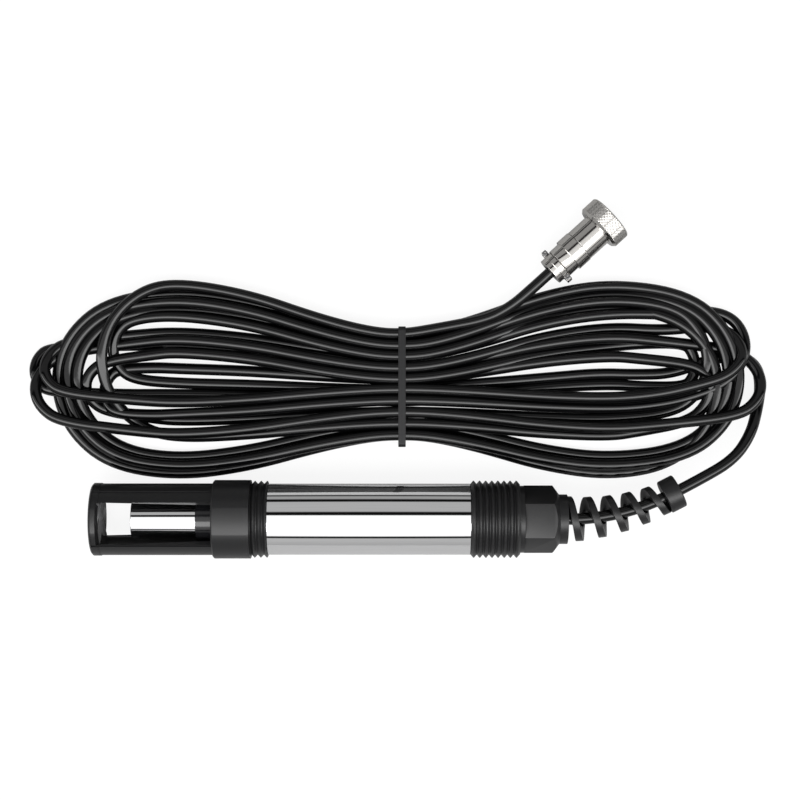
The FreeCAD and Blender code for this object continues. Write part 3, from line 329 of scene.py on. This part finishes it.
pick_faces(guard, in_recess)
bpy.ops.mesh.extrude_region_move(TRANSFORM_OT_translate={"value": (0, 0, 0)})
bpy.ops.transform.resize(value=(1, RECESS_SHARE, RECESS_SHARE), center_override=(0, 0, 0))
bpy.ops.object.mode_set(mode="OBJECT")
pick_faces(guard, in_window)
bpy.ops.mesh.delete(type="FACE")
bpy.ops.object.mode_set(mode="OBJECT")
uses = Counter(key for face in guard.data.polygons for key in face.edge_keys)
rims = {key for key, count in uses.items() if count == 1}
corners = [vertex.co.copy() for vertex in guard.data.vertices]
for side in (1, -1):
    pick_edges(guard, lambda edge: edge.key in rims and side * corners[edge.vertices[0]].dot(upright) > 0)
    bpy.ops.mesh.bridge_edge_loops()
    bpy.ops.object.mode_set(mode="OBJECT")
soften(guard, 0.18)
for quarter in (1, -1):
    bpy.ops.mesh.primitive_cube_add(
        size=1, location=(CROSS_PLACE * MM, 0, 0), rotation=(CROSS_TURN + quarter * math.pi / 4, 0, 0)
    )
    arm = bpy.context.object
    arm.scale = [each * MM for each in CROSS_ARM]
    bpy.ops.object.transform_apply(location=True, rotation=True, scale=True)
    soften(arm, 0.4, steps=4, smooth=30)
    join_to(guard, arm)
dress(guard, black_moulding, "black_moulding", "guard", "guard")
# A lighter copy of the black moulding for the cross: painted light, standing in for the light its arms catch
# through the window.
cross_painted_light = grained(
    "cross_painted_light", (0.06, 0.06, 0.061), (0.085, 0.085, 0.087), 0.42, 0.5, 0.25, 0.006
)
guard.data.materials.append(cross_painted_light)
# The cross's faces take the lighter copy, so the painted light lies on the cross alone.
for face in guard.data.polygons:
    across = math.hypot(face.center.y, face.center.z) / MM
    in_arm = abs(face.center.x / MM - CROSS_PLACE) < CROSS_ARM[0] / 2 + 0.05
    if in_arm and across < CROSS_REACH:
        face.material_index = 1

# The sensing cap is a polished steel sleeve that screws over the head's nose. Its rim holds the
# sensing film, a disc coated with dark silicone, and a moulded ring keeps the film flat.
def polished(name, colour, lines):
    """Polished metal with faint lines along the probe, as drawing and polishing leave them."""
    material = bpy.data.materials.new(name)
    material.use_nodes = True
    nodes = material.node_tree.nodes
    links = material.node_tree.links
    shader = nodes["Principled BSDF"]
    shader.inputs["Metallic"].default_value = 1
    place = nodes.new("ShaderNodeTexCoord")
    stretch = nodes.new("ShaderNodeMapping")
    stretch.inputs["Scale"].default_value = (0.03, 1, 1)
    links.new(place.outputs["Object"], stretch.inputs["Vector"])
    noise = nodes.new("ShaderNodeTexNoise")
    noise.inputs["Scale"].default_value = 1 / (0.5 * MM)
    noise.inputs["Detail"].default_value = 6
    links.new(stretch.outputs["Vector"], noise.inputs["Vector"])
    tone = nodes.new("ShaderNodeValToRGB")
    tone.color_ramp.elements[0].position = 0.3
    tone.color_ramp.elements[0].color = (*[0.95 * each for each in colour], 1)
    tone.color_ramp.elements[1].position = 0.7
    tone.color_ramp.elements[1].color = (*colour, 1)
    links.new(noise.outputs["Fac"], tone.inputs["Fac"])
    links.new(tone.outputs["Color"], shader.inputs["Base Color"])
    gloss = nodes.new("ShaderNodeMapRange")
    gloss.inputs["To Min"].default_value = lines
    gloss.inputs["To Max"].default_value = lines * 2
    links.new(noise.outputs["Fac"], gloss.inputs["Value"])
    links.new(gloss.outputs["Result"], shader.inputs["Roughness"])
    return material


def finish_node(material, *nodes):
    """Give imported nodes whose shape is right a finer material."""
    for node in nodes:
        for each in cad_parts[node].material_slots:
            each.material = material


polished_steel = polished("polished_steel", (0.84, 0.84, 0.845), 0.03)
cap = turned_blank(
    "cap_sleeve",
    [
        (-125.55, 5.2), (-125.55, 6.9), (-125.35, 7.1), (-103.25, 7.1), (-103.25, 6.3), (-124.95, 6.3),
        (-124.95, 5.2),
    ],
    192,
)
soften(cap, 0.08)
dress(cap, polished_steel, "polished_steel", "cap", "sensing_cap")
film_coat = grained("film_coat", (0.012, 0.016, 0.02), (0.03, 0.035, 0.04), 0.4, 0.6, 0.15, 0.003)
finish_node(film_coat, "sensing_film")
finish_node(black_moulding, "film_retainer")

# The sensor head is a turned and polished black plug, glued into the front fitting. Its wide ring
# shows behind the cap. The cap's rubber seal lies in a groove in its nose.
head_plastic = grained(
    "head_plastic", (0.004, 0.004, 0.0045), (0.008, 0.008, 0.009), 0.1, 0.18, 0.6, 0.0
)
head = turned_blank(
    "head_plug",
    [
        (-123.65, 4.9), (-123.65, 6.2), (-106.98, 6.2), (-106.98, 5.34), (-106.02, 5.34), (-106.02, 6.2),
        (-103.2, 6.2), (-103.2, 7.6), (-96.7, 7.6), (-96.7, 6.0), (-88.0, 6.0), (-88.0, 4.2),
        (-119.0, 4.2), (-119.0, 4.9),
    ],
    192,
)
soften(head, 0.12)
dress(head, head_plastic, "head_plastic", "probe", "sensor_head")
seal_rubber = grained("seal_rubber", (0.012, 0.012, 0.012), (0.024, 0.024, 0.024), 0.5, 0.65, 0.2, 0.004)
finish_node(seal_rubber, "cap_seal", "front_seal", "rear_seal", "gland_seal", "cable_grommet")

# Behind the glass window sit a round board with a blue and a red lamp, a light receiver under its
# coloured filter, and a temperature bead. A ribbon takes their signals to the long board.
clear_glass = grained("clear_glass", (0.9, 0.93, 0.94), (0.94, 0.96, 0.97), 0.02, 0.04, 3.0, 0.0)
glass_shader = clear_glass.node_tree.nodes["Principled BSDF"]
glass_shader.inputs["Transmission Weight"].default_value = 1
glass_shader.inputs["IOR"].default_value = 1.5
finish_node(clear_glass, "optical_window")
filter_glass = grained("filter_glass", (0.35, 0.01, 0.01), (0.45, 0.02, 0.01), 0.04, 0.07, 2.0, 0.0)
filter_shader = filter_glass.node_tree.nodes["Principled BSDF"]
filter_shader.inputs["Transmission Weight"].default_value = 0.8
filter_shader.inputs["IOR"].default_value = 1.52
finish_node(filter_glass, "colour_filter")
lamp_resin = grained("lamp_resin", (0.75, 0.78, 0.8), (0.85, 0.87, 0.88), 0.08, 0.14, 1.0, 0.0)
lamp_shader = lamp_resin.node_tree.nodes["Principled BSDF"]
lamp_shader.inputs["Transmission Weight"].default_value = 0.7
finish_node(lamp_resin, "blue_lamp", "red_lamp")
laminate = grained("green_laminate", (0.008, 0.07, 0.025), (0.02, 0.12, 0.045), 0.3, 0.42, 0.4, 0.004)
finish_node(laminate, "optics_board", "circuit_board")
ribbon_film = grained("ribbon_film", (0.3, 0.11, 0.02), (0.4, 0.17, 0.03), 0.25, 0.36, 0.8, 0.003)
finish_node(ribbon_film, "sensor_ribbon")
chip_resin = grained("chip_resin", (0.012, 0.012, 0.013), (0.025, 0.025, 0.027), 0.45, 0.6, 0.12, 0.004)
finish_node(chip_resin, "light_receiver", "board_chips")
can_metal = grained("can_metal", (0.55, 0.55, 0.56), (0.68, 0.68, 0.69), 0.22, 0.34, 0.3, 0.002, metal=1.0)
finish_node(can_metal, "board_capacitors")
bead_resin = grained("bead_resin", (0.02, 0.02, 0.03), (0.05, 0.05, 0.06), 0.2, 0.3, 0.5, 0.0)
finish_node(bead_resin, "temperature_bead")

# The front fitting is a black moulding: a spigot inside the guard's collar, a ridged thread of
# which three ridges show, and a long spigot with a seal in the tube.
front_fitting = turned_blank(
    "front_thread",
    [
        (-96.7, 6.05), (-96.7, 11.0), (-84.5, 11.0), (-84.5, 12.35),
        (-84.11, 12.35), (-83.15, 13.35), (-82.19, 12.35),
        (-81.99, 12.35), (-81.03, 13.35), (-80.07, 12.35),
        (-79.87, 12.35), (-78.91, 13.35), (-78.63, 13.06), (-78.63, 11.05),
        (-73.11, 11.05), (-73.11, 9.64), (-71.65, 9.64), (-71.65, 11.05),
        (-66.13, 11.05), (-66.13, 8.65), (-87.95, 8.65), (-87.95, 6.05),
    ],
    192,
)
soften(front_fitting, 0.07)
dress(front_fitting, black_moulding, "black_moulding", "probe", "front_fitting")

# The body is a drawn stainless tube, polished to a mirror, with its edges broken. It is pushed over
# the two fittings' spigots and holds there by their seals.
body_tube = turned_blank(
    "steel_tube",
    [(-78.63, 11.1), (-78.63, 12.05), (-78.38, 12.3), (-8.73, 12.3), (-8.48, 12.05), (-8.48, 11.1)],
    256,
)
soften(body_tube, 0.05)
dress(body_tube, polished_steel, "polished_steel", "probe", "body_tube")

# The rear fitting is a black moulding with eight thread ridges by which the probe is mounted. It
# has a spigot with a seal in the tube, a round shoulder, and a pocket for the cable's rubber seal.
RIDGES = 8
PITCH = 2.12
rear_profile = [
    (-20.98, 8.65), (-20.98, 11.05), (-15.46, 11.05), (-15.46, 9.64), (-14.0, 9.64), (-14.0, 11.05),
    (-8.48, 11.05), (-8.48, 12.35),
]
for ridge in range(RIDGES):
    crest = (ridge + 0.5 - RIDGES / 2) * PITCH
    rear_profile += [
        (crest - 0.96, 12.35), (crest - 0.125, 13.35), (crest + 0.125, 13.35), (crest + 0.96, 12.35),
    ]
rear_profile += [
    (8.48, 12.35), (8.48, 11.6), (9.93, 11.6), (9.93, 7.4), (17.53, 7.4), (17.53, 5.95), (5.48, 5.95),
    (5.48, 4.5), (-0.42, 4.5), (-0.42, 8.65),
]
rear_fitting = turned_blank("rear_thread", rear_profile, 192)
soften(rear_fitting, 0.07)
dress(rear_fitting, black_moulding, "black_moulding", "probe", "rear_fitting")

# The cable's four cores come out of its jacket inside the rear fitting and end on the long board.
# Each has its own thin jacket, and they come out again inside the plug.
core_jacket = grained("core_jacket", (0.32, 0.3, 0.28), (0.4, 0.38, 0.35), 0.3, 0.4, 0.6, 0.002)
finish_node(core_jacket, "cable_cores", "plug_cores")

# The gland nut is one soft black moulding: a hexagon that presses the seal on the cable, a disc, a
# tapering spiral strip that bends with the cable, and an end ring. A steel washer lies inside it.
def moulded_copy(name, node, width, angle):
    """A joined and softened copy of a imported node, whose shape is right but whose edges are sharp."""
    bpy.ops.object.select_all(action="DESELECT")
    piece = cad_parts[node].copy()
    piece.data = piece.data.copy()
    piece.name = name
    piece.data.name = name
    piece.parent = None
    for mark in [key for key in piece.keys() if key.startswith("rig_")]:
        del piece[mark]
    bpy.context.collection.objects.link(piece)
    piece.select_set(True)
    bpy.context.view_layer.objects.active = piece
    bpy.ops.object.mode_set(mode="EDIT")
    bpy.ops.mesh.select_all(action="SELECT")
    bpy.ops.mesh.remove_doubles(threshold=0.002 * MM)
    bpy.ops.mesh.dissolve_limited(angle_limit=math.radians(0.5))
    bpy.ops.object.mode_set(mode="OBJECT")
    soften(piece, width, angle=angle, smooth=angle)
    return piece


gland_nut = moulded_copy("gland_moulding", "gland_nut", 0.12, 32)
dress(gland_nut, black_moulding, "black_moulding", "probe", "gland_nut")
washer_steel = grained("washer_steel", (0.5, 0.5, 0.5), (0.62, 0.62, 0.62), 0.25, 0.4, 0.3, 0.002, metal=1.0)
finish_node(washer_steel, "gland_washer")

# The cable is one glossy black cord, 4 mm thick. It leaves the gland nut straight, bends with the
# spiral, goes under the hank's end loops, makes the hank's turns and leaves them for the plug.
HANK_MIDDLE = -32.2
LOBES = {-1: 79.0, 1: 73.0}
LOBE_PARTS = (0.15, 0.38, 0.68, 1.0)
ARC_DEGREES = (30, 62)
ARC_LENGTH = 1.1
LONG_LOOP = 12
LONG_CLOSING = 0.82
TIGHTEST = 8.8
LEAD = [
    (1.46, 0, 0), (18.69, 0, 0), (31.31, 0, 0), (43.78, 1.97, 0), (55.79, 5.87, 0),
    (70.0, 13.1, -0.6), (83.4, 20.4, -3.5), (90.2, 29.4, -7.5), (93.0, 38.3, -10.6),
    (94.4, 46.4, -11.6), (93.0, 53.6, -11.6), (86.6, 57.2, -11.6), (76.0, 55.6, -11.6),
    (63.0, 50.6, -11.6), (50.0, 50.3, -11.6), (37.0, 50.7, -11.6), (20.0, 49.2, -11.6),
]
TAIL = [
    (-18.0, 66.7, -7.6), (-2.0, 69.7, -7.6), (6.0, 74.0, -6.0), (11.48, 78.57, -4.95), (24.06, 90.01, -4.95),
]
# Each pass through the hank, from its far side to its near side: place and height under the tie,
# in the left lobe and in the right lobe. The first far pass leaves for the plug and the first near
# pass comes from the probe, so neither has a place in the right lobe.
FAR_PASSES = [
    (64.2, -6.45, 82.4, -7.6),
    (64.2, -10.4, 79.6, -11.6, 82.2, -8.4),
    (60.3, -6.45, 76.6, -7.6, 79.4, -11.6),
    (60.3, -10.4, 73.9, -11.6, 76.8, -8.0),
    (56.5, -6.45, 71.2, -8.0, 74.3, -11.6),
    (56.5, -10.4, 65.3, -11.6, 71.9, -8.0),
    (52.5, -6.45, 62.8, -8.0, 67.0, -11.6),
    (52.5, -10.4, 60.6, -11.6, 63.6, -8.0),
    (48.7, -6.45, 58.2, -7.6, 60.2, -11.6),
    (48.7, -10.4, 52.4, -11.6, 56.8, -8.0),
]
NEAR_PASSES = [
    (44.8, -10.4, 47.2, -11.6),
    (45.2, -6.45, 40.4, -7.0, 41.9, -7.0),
    (41.0, -10.4, 43.3, -11.6, 47.0, -11.6),
    (41.3, -6.45, 36.4, -8.0, 38.4, -10.9),
    (33.2, -6.45, 28.0, -11.6, 28.6, -11.6),
    (37.2, -6.45, 29.2, -7.0, 31.3, -7.0),
    (33.2, -10.4, 20.5, -11.6, 20.7, -11.6),
    (37.1, -10.4, 34.0, -11.6, 34.5, -11.6),
    (29.3, -6.45, 17.6, -8.4, 17.7, -8.4),
    (29.3, -10.4, 14.7, -11.6, 14.8, -11.6),
]
# The end loops in the order in which the cable was wound: side, far pass, near pass, reach from the
# tie, place of the tip, and heights at the far shoulder, the tip and the near shoulder. The two
# without a reach are the bulges below.
LOOPS = [
    (-1, 4, 0, 102.0, 59.0, -7.8, -9.2, -11.4),
    (1, 4, 9, 111.8, 46.5, -7.6, -7.8, -11.4),
    (-1, 1, 9, 122.4, 48.0, -7.8, -10.0, -11.4),
    (1, 1, 8, 119.4, 49.0, -7.6, -7.8, -8.4),
    (-1, 2, 8, 118.7, 49.0, -7.0, -8.6, -8.4),
    (1, 2, 6, 115.6, 49.0, -7.6, -7.8, -11.2),
    (-1, 3, 6, 115.0, 48.5, -6.8, -7.8, -11.2),
    (1, 3, 7, 108.0, 54.0, -7.6, -7.8, -11.2),
    (-1, 8, 7, 111.3, 46.0, -7.2, -7.8, -11.2),
    (1, 8, 2, 103.6, 53.2, -11.4, -11.4, -11.4),
    (-1, 7, 2, 129.4, 52.0, -11.4, -9.6, -8.6),
    (1, 7, 5, 126.4, 47.0, -11.2, -7.6, -3.6),
    (-1, 6, 5, 129.0, 45.6, -11.0, -6.6, -3.6),
    (1, 6, 1),
    (-1, 5, 1, 125.4, 52.6, -10.8, -5.4, -3.2),
    (1, 5, 3),
    (-1, 9, 3, 105.0, 44.5, -11.2, -11.0, -8.6),
    (1, 9, 4, 109.0, 46.6, -8.2, -8.2, -10.8),
    (-1, 0, 4, 105.8, 55.0, -3.6, -4.4, -10.8),
]
# Two end loops at the right bulge out on the far side before they come back over the others.
BULGES = {
    (1, 6, 1): [
        (92.0, 65.8, -11.4), (106.0, 67.4, -10.8), (116.4, 65.2, -9.4), (119.8, 57.0, -5.0),
        (114.2, 49.9, -3.5), (103.6, 46.6, -3.4), (90.0, 43.4, -5.2),
    ],
    (1, 5, 3): [
        (97.0, 71.4, -9.4), (108.6, 72.8, -10.8), (117.4, 69.8, -10.8), (121.2, 61.6, -9.0),
        (119.0, 53.0, -7.8), (112.0, 46.0, -7.8), (99.0, 41.4, -10.2), (86.0, 39.2, -10.9),
    ],
}


def end_arc(lobe, far, near, reach, tip, far_height, tip_height, near_height):
    """Points of a loop's round end, which is kept wide enough for the cable to bend round it."""
    half = (far[0] - near[0]) / 2
    start = max(lobe, reach - ARC_LENGTH * half)
    long_loop = start > lobe + LONG_LOOP
    closing = max(LONG_CLOSING if long_loop else 1.0, TIGHTEST / half)
    turn = [(reach, tip, tip_height)]
    for (side_place, side_height), shoulder in ((far, far_height), (near, near_height)):
        width = (side_place - tip) * closing
        arc = []
        for degrees, height in zip(ARC_DEGREES, ((shoulder + tip_height) / 2, shoulder)):
            swing = math.radians(degrees)
            arc.append((start + (reach - start) * math.cos(swing), tip + width * math.sin(swing), height))
        if long_loop:
            middle = tip + width * (1 + closing) / (2 * closing)
            arc.append(((lobe + start) / 2, middle, (side_height + shoulder) / 2))
        turn = arc[::-1] + turn if width > 0 else turn + arc
    return turn


def hank_loop(side, far, near, *shape):
    """Points of one end loop, from the tie out along the far pass and back along the near one."""
    lobe = LOBES[side]
    column = 2 if side < 0 else 4
    branches = []
    for branch in (FAR_PASSES[far], NEAR_PASSES[near]):
        run = []
        for part in LOBE_PARTS:
            ease = math.sin(math.pi / 2 * part) ** 2
            run.append((part * lobe, *[branch[n] + (branch[column + n] - branch[n]) * ease for n in (0, 1)]))
        branches.append(run)
    if shape:
        turn = end_arc(lobe, branches[0][-1][1:], branches[1][-1][1:], *shape)
    else:
        turn = BULGES[side, far, near]
    points = branches[0] + turn + branches[1][::-1]
    return [(HANK_MIDDLE + side * x, y, z) for x, y, z in points]


route = list(LEAD)
route.append((HANK_MIDDLE, *NEAR_PASSES[0][:2]))
outwards = False
for loop in LOOPS:
    points = hank_loop(*loop)
    route += points if outwards else points[::-1]
    arrived = NEAR_PASSES[loop[2]] if outwards else FAR_PASSES[loop[1]]
    route.append((HANK_MIDDLE, *arrived[:2]))
    outwards = not outwards
route += TAIL

curve = bpy.data.curves.new("cable", "CURVE")
curve.dimensions = "3D"
spline = curve.splines.new("NURBS")
spline.points.add(len(route) - 1)
for point, spot in zip(spline.points, route):
    point.co = (*[MM * each for each in spot], 1)
spline.order_u = 3
spline.use_endpoint_u = True
spline.resolution_u = 8
curve.bevel_depth = 2.0 * MM
curve.bevel_resolution = 5
curve.use_fill_caps = True
cable = bpy.data.objects.new("cable", curve)
bpy.context.collection.objects.link(cable)

cable_jacket = grained(
    "cable_jacket", (0.001, 0.001, 0.0011), (0.002, 0.002, 0.0022), 0.07, 0.11, 0.8, 0.0015
)
cable_jacket.node_tree.nodes["Principled BSDF"].inputs["IOR"].default_value = 1.42
cable.data.materials.append(cable_jacket)
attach(cable, "probe")
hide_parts("cable_lead", "cable_tail", "cable_hank")

# The cable tie is a flat nylon strap pulled tight around the hank's middle. It is a box without its
# two sides, with its corners rounded and the strap's thickness added inwards.
TIE_LOW = (-33.5, 24.9, -13.6)
TIE_HIGH = (-30.9, 67.05, -3.15)
TIE_CORNER = 1.6
STRAP_THICKNESS = 1.1
tie_nylon = grained("tie_nylon", (0.006, 0.006, 0.0065), (0.01, 0.01, 0.0105), 0.35, 0.45, 0.3, 0.003)
tie_nylon.node_tree.nodes["Principled BSDF"].inputs["IOR"].default_value = 1.3
bpy.ops.object.select_all(action="DESELECT")
middle = [(low + high) / 2 * MM for low, high in zip(TIE_LOW, TIE_HIGH)]
bpy.ops.mesh.primitive_cube_add(size=1, location=middle)
tie = bpy.context.object
tie.name = "tie_strap"
tie.data.name = "tie_strap"
tie.scale = [(high - low) * MM for low, high in zip(TIE_LOW, TIE_HIGH)]
bpy.ops.object.transform_apply(location=True, rotation=True, scale=True)
pick_faces(tie, lambda face: abs(face.normal.x) > 0.9)
bpy.ops.mesh.delete(type="FACE")
bpy.ops.object.mode_set(mode="OBJECT")
ends = [vertex.co.x for vertex in tie.data.vertices]
pick_edges(tie, lambda edge: abs(ends[edge.vertices[0]] - ends[edge.vertices[1]]) > MM)
bpy.ops.mesh.bevel(offset=TIE_CORNER * MM, segments=8, affect="EDGES")
bpy.ops.object.mode_set(mode="OBJECT")
thick = tie.modifiers.new("strap", "SOLIDIFY")
thick.thickness = STRAP_THICKNESS * MM
thick.offset = -1
bpy.context.view_layer.objects.active = tie
bpy.ops.object.modifier_apply(modifier=thick.name)
soften(tie, 0.2, steps=3)
dress(tie, tie_nylon, "tie_nylon", "probe", "cable_tie")

# The plug is a round screw-on connector, turned in brass and plated with satin nickel. A moulded
# rubber sleeve and a two-part clamp with two screws hold the cable in its rear shell.
PLUG_PLACE = (0.01962, 0.08597, -0.00495)
PLUG_TURN = math.radians(42.3)
CLAMP_TURN = math.radians(-14)
EAR_PLACE = (3.03, 5.75, 0.8)
EAR_SIZE = (1.9, 2.3, 1.5)
SCREW_PLACE = (3.05, 5.85)
HALF_GAP = 0.025


def put_on_plug(piece):
    """Move a piece that was made at the origin on to the plug's own axis."""
    bpy.ops.object.select_all(action="DESELECT")
    piece.select_set(True)
    bpy.context.view_layer.objects.active = piece
    piece.location = PLUG_PLACE
    piece.rotation_euler.z = PLUG_TURN
    bpy.ops.object.transform_apply(location=True, rotation=True, scale=True)


satin_nickel = grained(
    "satin_nickel", (0.46, 0.445, 0.425), (0.54, 0.525, 0.505), 0.09, 0.14, 0.35, 0.0008, metal=1.0
)


def clamp_half(name, side, reach):
    """Half of the cable clamp's ring, with a raised band and an ear at each end; side 1 is the upper."""
    ring = [(0.0, 3.25), (0.0, 4.95), (2.0, 4.95), (2.0, 5.25), (reach, 5.25), (reach, 3.25)]
    half = turned_blank(name, ring, 96)
    bpy.ops.object.mode_set(mode="EDIT")
    bpy.ops.mesh.select_all(action="SELECT")
    bpy.ops.mesh.bisect(
        plane_co=(0, 0, HALF_GAP * side * MM), plane_no=(0, 0, side), use_fill=True, clear_inner=True
    )
    bpy.ops.object.mode_set(mode="OBJECT")
    soften(half, 0.1)
    for hand in (1, -1):
        place = (EAR_PLACE[0] * MM, EAR_PLACE[1] * hand * MM, EAR_PLACE[2] * side * MM)
        bpy.ops.mesh.primitive_cube_add(size=1, location=place)
        ear = bpy.context.object
        ear.scale = [each * MM for each in EAR_SIZE]
        bpy.ops.object.transform_apply(location=True, rotation=True, scale=True)
        soften(ear, 0.12)
        join_to(half, ear)
    return half


def turn_clamp(piece):
    """Turn a piece of the clamp about the plug's axis, as the clamp is turned on its barrel."""
    piece.rotation_euler.x = CLAMP_TURN
    bpy.ops.object.transform_apply(location=True, rotation=True, scale=True)


rear_shell = turned_blank(
    "plug_barrel",
    [
        (4.1, 3.25), (4.1, 5.0), (4.5, 5.45), (8.5, 5.45), (8.5, 6.1), (13.45, 6.1), (13.45, 5.0),
        (8.6, 5.0), (8.6, 3.25),
    ],
    160,
)
soften(rear_shell, 0.1)
lower_half = clamp_half("lower_clamp", -1, 4.3)
turn_clamp(lower_half)
join_to(rear_shell, lower_half)
put_on_plug(rear_shell)
dress(rear_shell, satin_nickel, "nickel", "probe", "plug_rear_shell")
saddle = clamp_half("clamp_saddle", 1, 4.05)
turn_clamp(saddle)
put_on_plug(saddle)
dress(saddle, satin_nickel, "nickel", "probe", "cable_clamp")
screw_steel = grained(
    "screw_steel", (0.24, 0.24, 0.245), (0.32, 0.32, 0.325), 0.24, 0.34, 0.2, 0.001, metal=1.0
)
screws = turned_blank(
    "clamp_screw_pair",
    [(-1.5, 0.3), (-1.5, 0.5), (1.55, 0.5), (1.55, 0.95), (2.0, 0.95), (2.15, 0.8), (2.15, 0.3)],
    40,
)
soften(screws, 0.05)
screws.rotation_euler.y = -math.pi / 2
screws.location = (SCREW_PLACE[0] * MM, SCREW_PLACE[1] * MM, 0)
bpy.ops.object.transform_apply(location=True, rotation=True, scale=True)
bpy.ops.object.duplicate()
twin = bpy.context.object
twin.location.y = -2 * SCREW_PLACE[1] * MM
bpy.ops.object.transform_apply(location=True, rotation=True, scale=True)
join_to(screws, twin)
turn_clamp(screws)
put_on_plug(screws)
dress(screws, screw_steel, "screw_steel", "probe", "clamp_screws")
front_shell = turned_blank(
    "plug_front",
    [
        (9.0, 4.05), (9.0, 4.95), (13.6, 4.95), (13.6, 5.9), (23.4, 5.9), (23.4, 6.85), (24.6, 6.85),
        (24.6, 5.9), (27.6, 5.9), (27.6, 5.0), (19.2, 5.0), (19.2, 4.05),
    ],
    160,
)
put_on_plug(front_shell)
soften(front_shell, 0.08)
dress(front_shell, satin_nickel, "nickel", "probe", "plug_front_shell")

# The coupling nut turns on the front shell's flange and screws on the socket. Its grip is a diamond
# knurl, rolled into the brass before plating.
KNURL_ROWS = 7
KNURL_COLUMNS = 74
KNURL_SPAN = (23.0, 28.4)
KNURL_RADIUS = 8.6
KNURL_FLOOR = 8.4
KNURL_DEPTH = 0.09
RIM_WIDTH = 0.1
knurl_rings = [
    (KNURL_SPAN[0] + (KNURL_SPAN[1] - KNURL_SPAN[0]) * row / KNURL_ROWS, KNURL_RADIUS)
    for row in range(KNURL_ROWS + 1)
]
coupling_nut = turned_blank(
    "knurled_nut",
    [(22.2, 6.0), (22.2, 7.85)] + knurl_rings + [(28.8, 8.2), (28.8, 6.95), (23.3, 6.95), (23.3, 6.0)],
    KNURL_COLUMNS,
)
corner_count = len(coupling_nut.data.vertices)


def in_grip(face):
    """Whether a face lies in the nut's knurled band."""
    outer = math.hypot(face.center.y, face.center.z) > KNURL_FLOOR * MM
    return outer and KNURL_SPAN[0] < face.center.x / MM < KNURL_SPAN[1]


pick_faces(coupling_nut, in_grip)
bpy.ops.mesh.poke(offset=0.0)
bpy.ops.object.mode_set(mode="OBJECT")
spots = [vertex.co.copy() for vertex in coupling_nut.data.vertices]


def old_grid_line(edge):
    """Whether an edge is one of the band's first lines, away from its two rims."""
    first, second = edge.vertices
    middle = (spots[first] + spots[second]) / 2
    in_band = KNURL_SPAN[0] + RIM_WIDTH < middle.x / MM < KNURL_SPAN[1] - RIM_WIDTH
    outer = math.hypot(middle.y, middle.z) > KNURL_FLOOR * MM
    return max(first, second) < corner_count and in_band and outer


pick_edges(coupling_nut, old_grid_line)
bpy.ops.mesh.dissolve_edges(use_verts=False)
bpy.ops.object.mode_set(mode="OBJECT")
pick_faces(coupling_nut, in_grip)
bpy.ops.mesh.poke(offset=KNURL_DEPTH * MM)
bpy.ops.object.mode_set(mode="OBJECT")
soften(coupling_nut, 0)
put_on_plug(coupling_nut)
dress(coupling_nut, satin_nickel, "nickel", "nut", "coupling_nut")
contact_metal = grained(
    "contact_metal", (0.75, 0.55, 0.22), (0.83, 0.63, 0.28), 0.18, 0.28, 0.3, 0.001, metal=1.0
)
finish_node(contact_metal, "contact_pins")
insert_resin = grained("insert_resin", (0.015, 0.015, 0.016), (0.03, 0.03, 0.032), 0.35, 0.45, 0.25, 0.003)
finish_node(insert_resin, "plug_insert")
